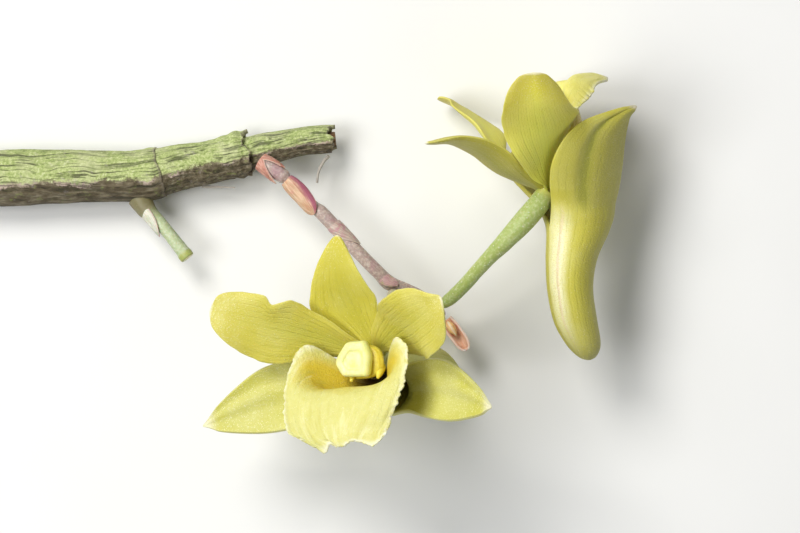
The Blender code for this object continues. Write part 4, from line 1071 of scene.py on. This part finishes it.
def build_flower(flower, form, looks):
    """The seven pieces of one flower, and the two teeth of its column."""
    prefix = flower.prefix
    inward = [(0, -0.35, 1.0), (0, 0.1, 1.0)]
    edges = (form["dorsal_right"], form["dorsal_left"])
    points = blade(form["dorsal"], inward, *edges, 49, 27, cup=0.4, fold=0.25, edge=0.03)
    piece = laid_grid(prefix + "dorsal_blade", flower.place(points))
    thicken(piece, BLADE_THICKNESS, rim=0.3)
    shown(piece, prefix + "dorsal_sepal", looks["sepal"])
    for side, keys in (("left", ("_upper", "_lower")), ("right", ("_lower", "_upper"))):
        edges = [form[side + key] for key in keys]
        shape = dict(cup=0.3, fold=0.2, edge=0.06, wave=0.45)
        points = blade(form[side + "_petal"], form[side + "_face"], *edges, 61, 31, **shape)
        piece = laid_grid(prefix + side + "_petal_blade", flower.place(points))
        thicken(piece, BLADE_THICKNESS, rim=0.3)
        shown(piece, prefix + "petal_" + side, looks["petal"])
    halves = lateral_pair(form["lateral"], form["lateral_shifts"], 84, 33)
    piece, other = (laid_grid(prefix + "spurred_sepals", flower.place(half)) for half in halves)
    only(piece)
    other.select_set(True)
    bpy.ops.object.join()
    edit(piece, merge, face_out)
    thicken(piece, LIP_THICKNESS, rim=0.45, margin=0.05)
    shown(piece, prefix + "lateral_sepals", looks["spur"])
    piece = laid_grid(prefix + "fringed_lip", flower.place(lip_sheet(form, 130, 73)))
    thicken(piece, LIP_THICKNESS, rim=0.45, margin=0.06)
    shown(piece, prefix + "lip", looks["lip"])
    piece = lofted(prefix + "column_body", flower, COLUMN, 64, 40)
    shown(piece, prefix + "column", looks["column"])
    at = np.linspace(0, 1, 16)
    for path in COLUMN_TEETH:
        tooth = rod(prefix + "column_tooth", flower.place(curve(path, at)), 0.75 - 0.55 * at**1.5, 20)
        shown(tooth, prefix + "column", looks["column"])
    piece = lofted(prefix + "pollen_cap", flower, CAP, 96, 40, outline=CAP_FACETS)
    shown(piece, prefix + "anther_cap", looks["cap"])


def front_place():
    """The front flower's place, from how far it is turned, nods and rolls."""
    turn, nod, roll = (math.radians(v) for v in (FRONT_TURN, FRONT_NOD, FRONT_ROLL))
    forward = (-math.sin(turn) * math.cos(nod), -math.sin(nod), math.cos(turn) * math.cos(nod))
    return Flower("front_", FRONT_JUNCTION, forward, (-math.sin(roll), math.cos(roll), 0.0))


def build_flowers():
    """Both flowers with their stalks; the side flower has some looks of its own, among them darker sepals
    for painted shade and brighter petals for painted light.
    """
    front = front_place()
    side = Flower("side_", SIDE_JUNCTION, SIDE_FORWARD, SIDE_DORSAL)
    yellow = ((0.58, 0.56, 0.10), 0.90, 0.985, 0.9)
    tones = ((0.34, 0.42, 0.11), (0.56, 0.60, 0.33), (0.29, 0.39, 0.07))
    green = smooth_stalk("ovary_skin", *tones, patch_share=0.4, dots=0.6, ends=[yellow])
    rosy = ((0.55, 0.48, 0.36), 0.2, 0.08, 0.8)
    short = smooth_stalk("short_ovary_skin", *tones, patch_share=0.4, dots=0.6, ends=[yellow, rosy])
    pedicel(front, FRONT_STALK, short)
    pedicel(side, SIDE_STALK, green)
    looks = {
        "sepal": waxy_petal("sepal_flesh", (0.59, 0.53, 0.055), (0.69, 0.65, 0.17), (0.41, 0.39, 0.03)),
        "petal": waxy_petal("petal_flesh", (0.59, 0.53, 0.07), (0.71, 0.67, 0.22), (0.43, 0.43, 0.04)),
        "spur": waxy_petal("front_spur_flesh", (0.53, 0.51, 0.09), (0.68, 0.67, 0.28), (0.37, 0.40, 0.05)),
        "lip": lip_flesh("lip_flesh"),
        "column": column_flesh("golden_column", (0.62, 0.50, 0.035), (0.76, 0.66, 0.10), (0.5, 0.34, 0.02)),
        "cap": column_flesh("cream_cap", (0.76, 0.78, 0.28), (0.84, 0.86, 0.42), (0.62, 0.68, 0.20)),
    }
    build_flower(front, FRONT_FORM, looks)
    # The fourth, darkest tone is the colour of the painted shade on the side spur.
    tones = ((0.58, 0.53, 0.07), (0.68, 0.64, 0.18), (0.34, 0.34, 0.03), (0.24, 0.22, 0.035))
    looks["spur"] = spur_flesh("side_spur_flesh", *tones, cream=(0.88, 0.86, 0.58))
    # Painted shade: the side sepals get darker copies of the sepal tones.
    tones = ((0.42, 0.38, 0.04), (0.54, 0.51, 0.12), (0.28, 0.28, 0.025))
    looks["sepal"] = waxy_petal("side_sepal_flesh_painted_shade", *tones, tip_share=0.95)
    # Painted light: the side petals get brighter copies of the petal tones, with painted light at the base
    # and painted shade at the tip.
    tones = ((0.68, 0.62, 0.065), (0.78, 0.74, 0.19), (0.58, 0.61, 0.045))
    ends = dict(base=(0.92, 0.93, 0.12), end=(0.38, 0.32, 0.035))
    looks["petal"] = waxy_petal("side_petal_flesh_painted_light_and_shade", *tones, vein_share=0.25, **ends)
    looks["lip"] = lip_flesh("side_lip_flesh", ((0.76, 0.70, 0.11), (0.84, 0.80, 0.24)))
    build_flower(side, SIDE_FORM, looks)


# Floor, light and camera


def in_metres(place):
    """A place given in millimetres, from the part's own zero and in metres."""
    return tuple((np.array(place, float) - REST) * MM)


def build_studio():
    """A pale floor, three soft lamps, a dim room and a camera that looks straight down."""
    bpy.ops.mesh.primitive_plane_add(size=FLOOR_SIZE, location=(0, 0, -FLOOR_DROP))
    floor = bpy.context.object
    floor.name = "pale_floor"
    look = Look("floor_paper", roughness=0.9)
    look.colour = look.mix((0.80, 0.80, 0.78), (0.84, 0.84, 0.82), look.clouds(look.spots, 40.0, 2.0))
    floor.data.materials.append(look.finish())
    for name, place, size, power, tint in (
        ("top_softbox", (-220.0, 300.0, 520.0), 0.3, 3.1, (1.0, 0.98, 0.95)),
        ("front_softbox", (-320.0, -40.0, 580.0), 0.35, 2.45, (1.0, 1.0, 1.0)),
        ("low_fill", (420.0, -400.0, 300.0), 0.6, 0.5, (0.95, 0.98, 1.0)),
    ):
        bpy.ops.object.light_add(type="AREA", location=in_metres(place))
        light = bpy.context.object
        light.name = name
        light.data.shape = "DISK"
        light.data.size = size
        light.data.energy = power
        light.data.color = tint
        aim = np.array(in_metres(place)) - np.array(in_metres(LIGHT_AIM))
        light.rotation_euler = Vector(aim).to_track_quat("Z", "Y").to_euler()
    world = bpy.data.worlds.new("soft_room")
    world.use_nodes = True
    world.node_tree.nodes["Background"].inputs["Color"].default_value = (0.9, 0.93, 1.0, 1)
    world.node_tree.nodes["Background"].inputs["Strength"].default_value = 0.2
    bpy.context.scene.world = world
    bpy.ops.object.camera_add(location=in_metres(CAMERA_PLACE), rotation=(0, 0, 0))
    camera = bpy.context.object
    camera.data.sensor_width = 36.0
    camera.data.lens = CAMERA_LENS
    camera.data.clip_start = 0.01
    bpy.context.scene.camera = camera
    bpy.context.scene.view_settings.view_transform = "Standard"


build_cane()
build_stalk()
build_flowers()
build_studio()
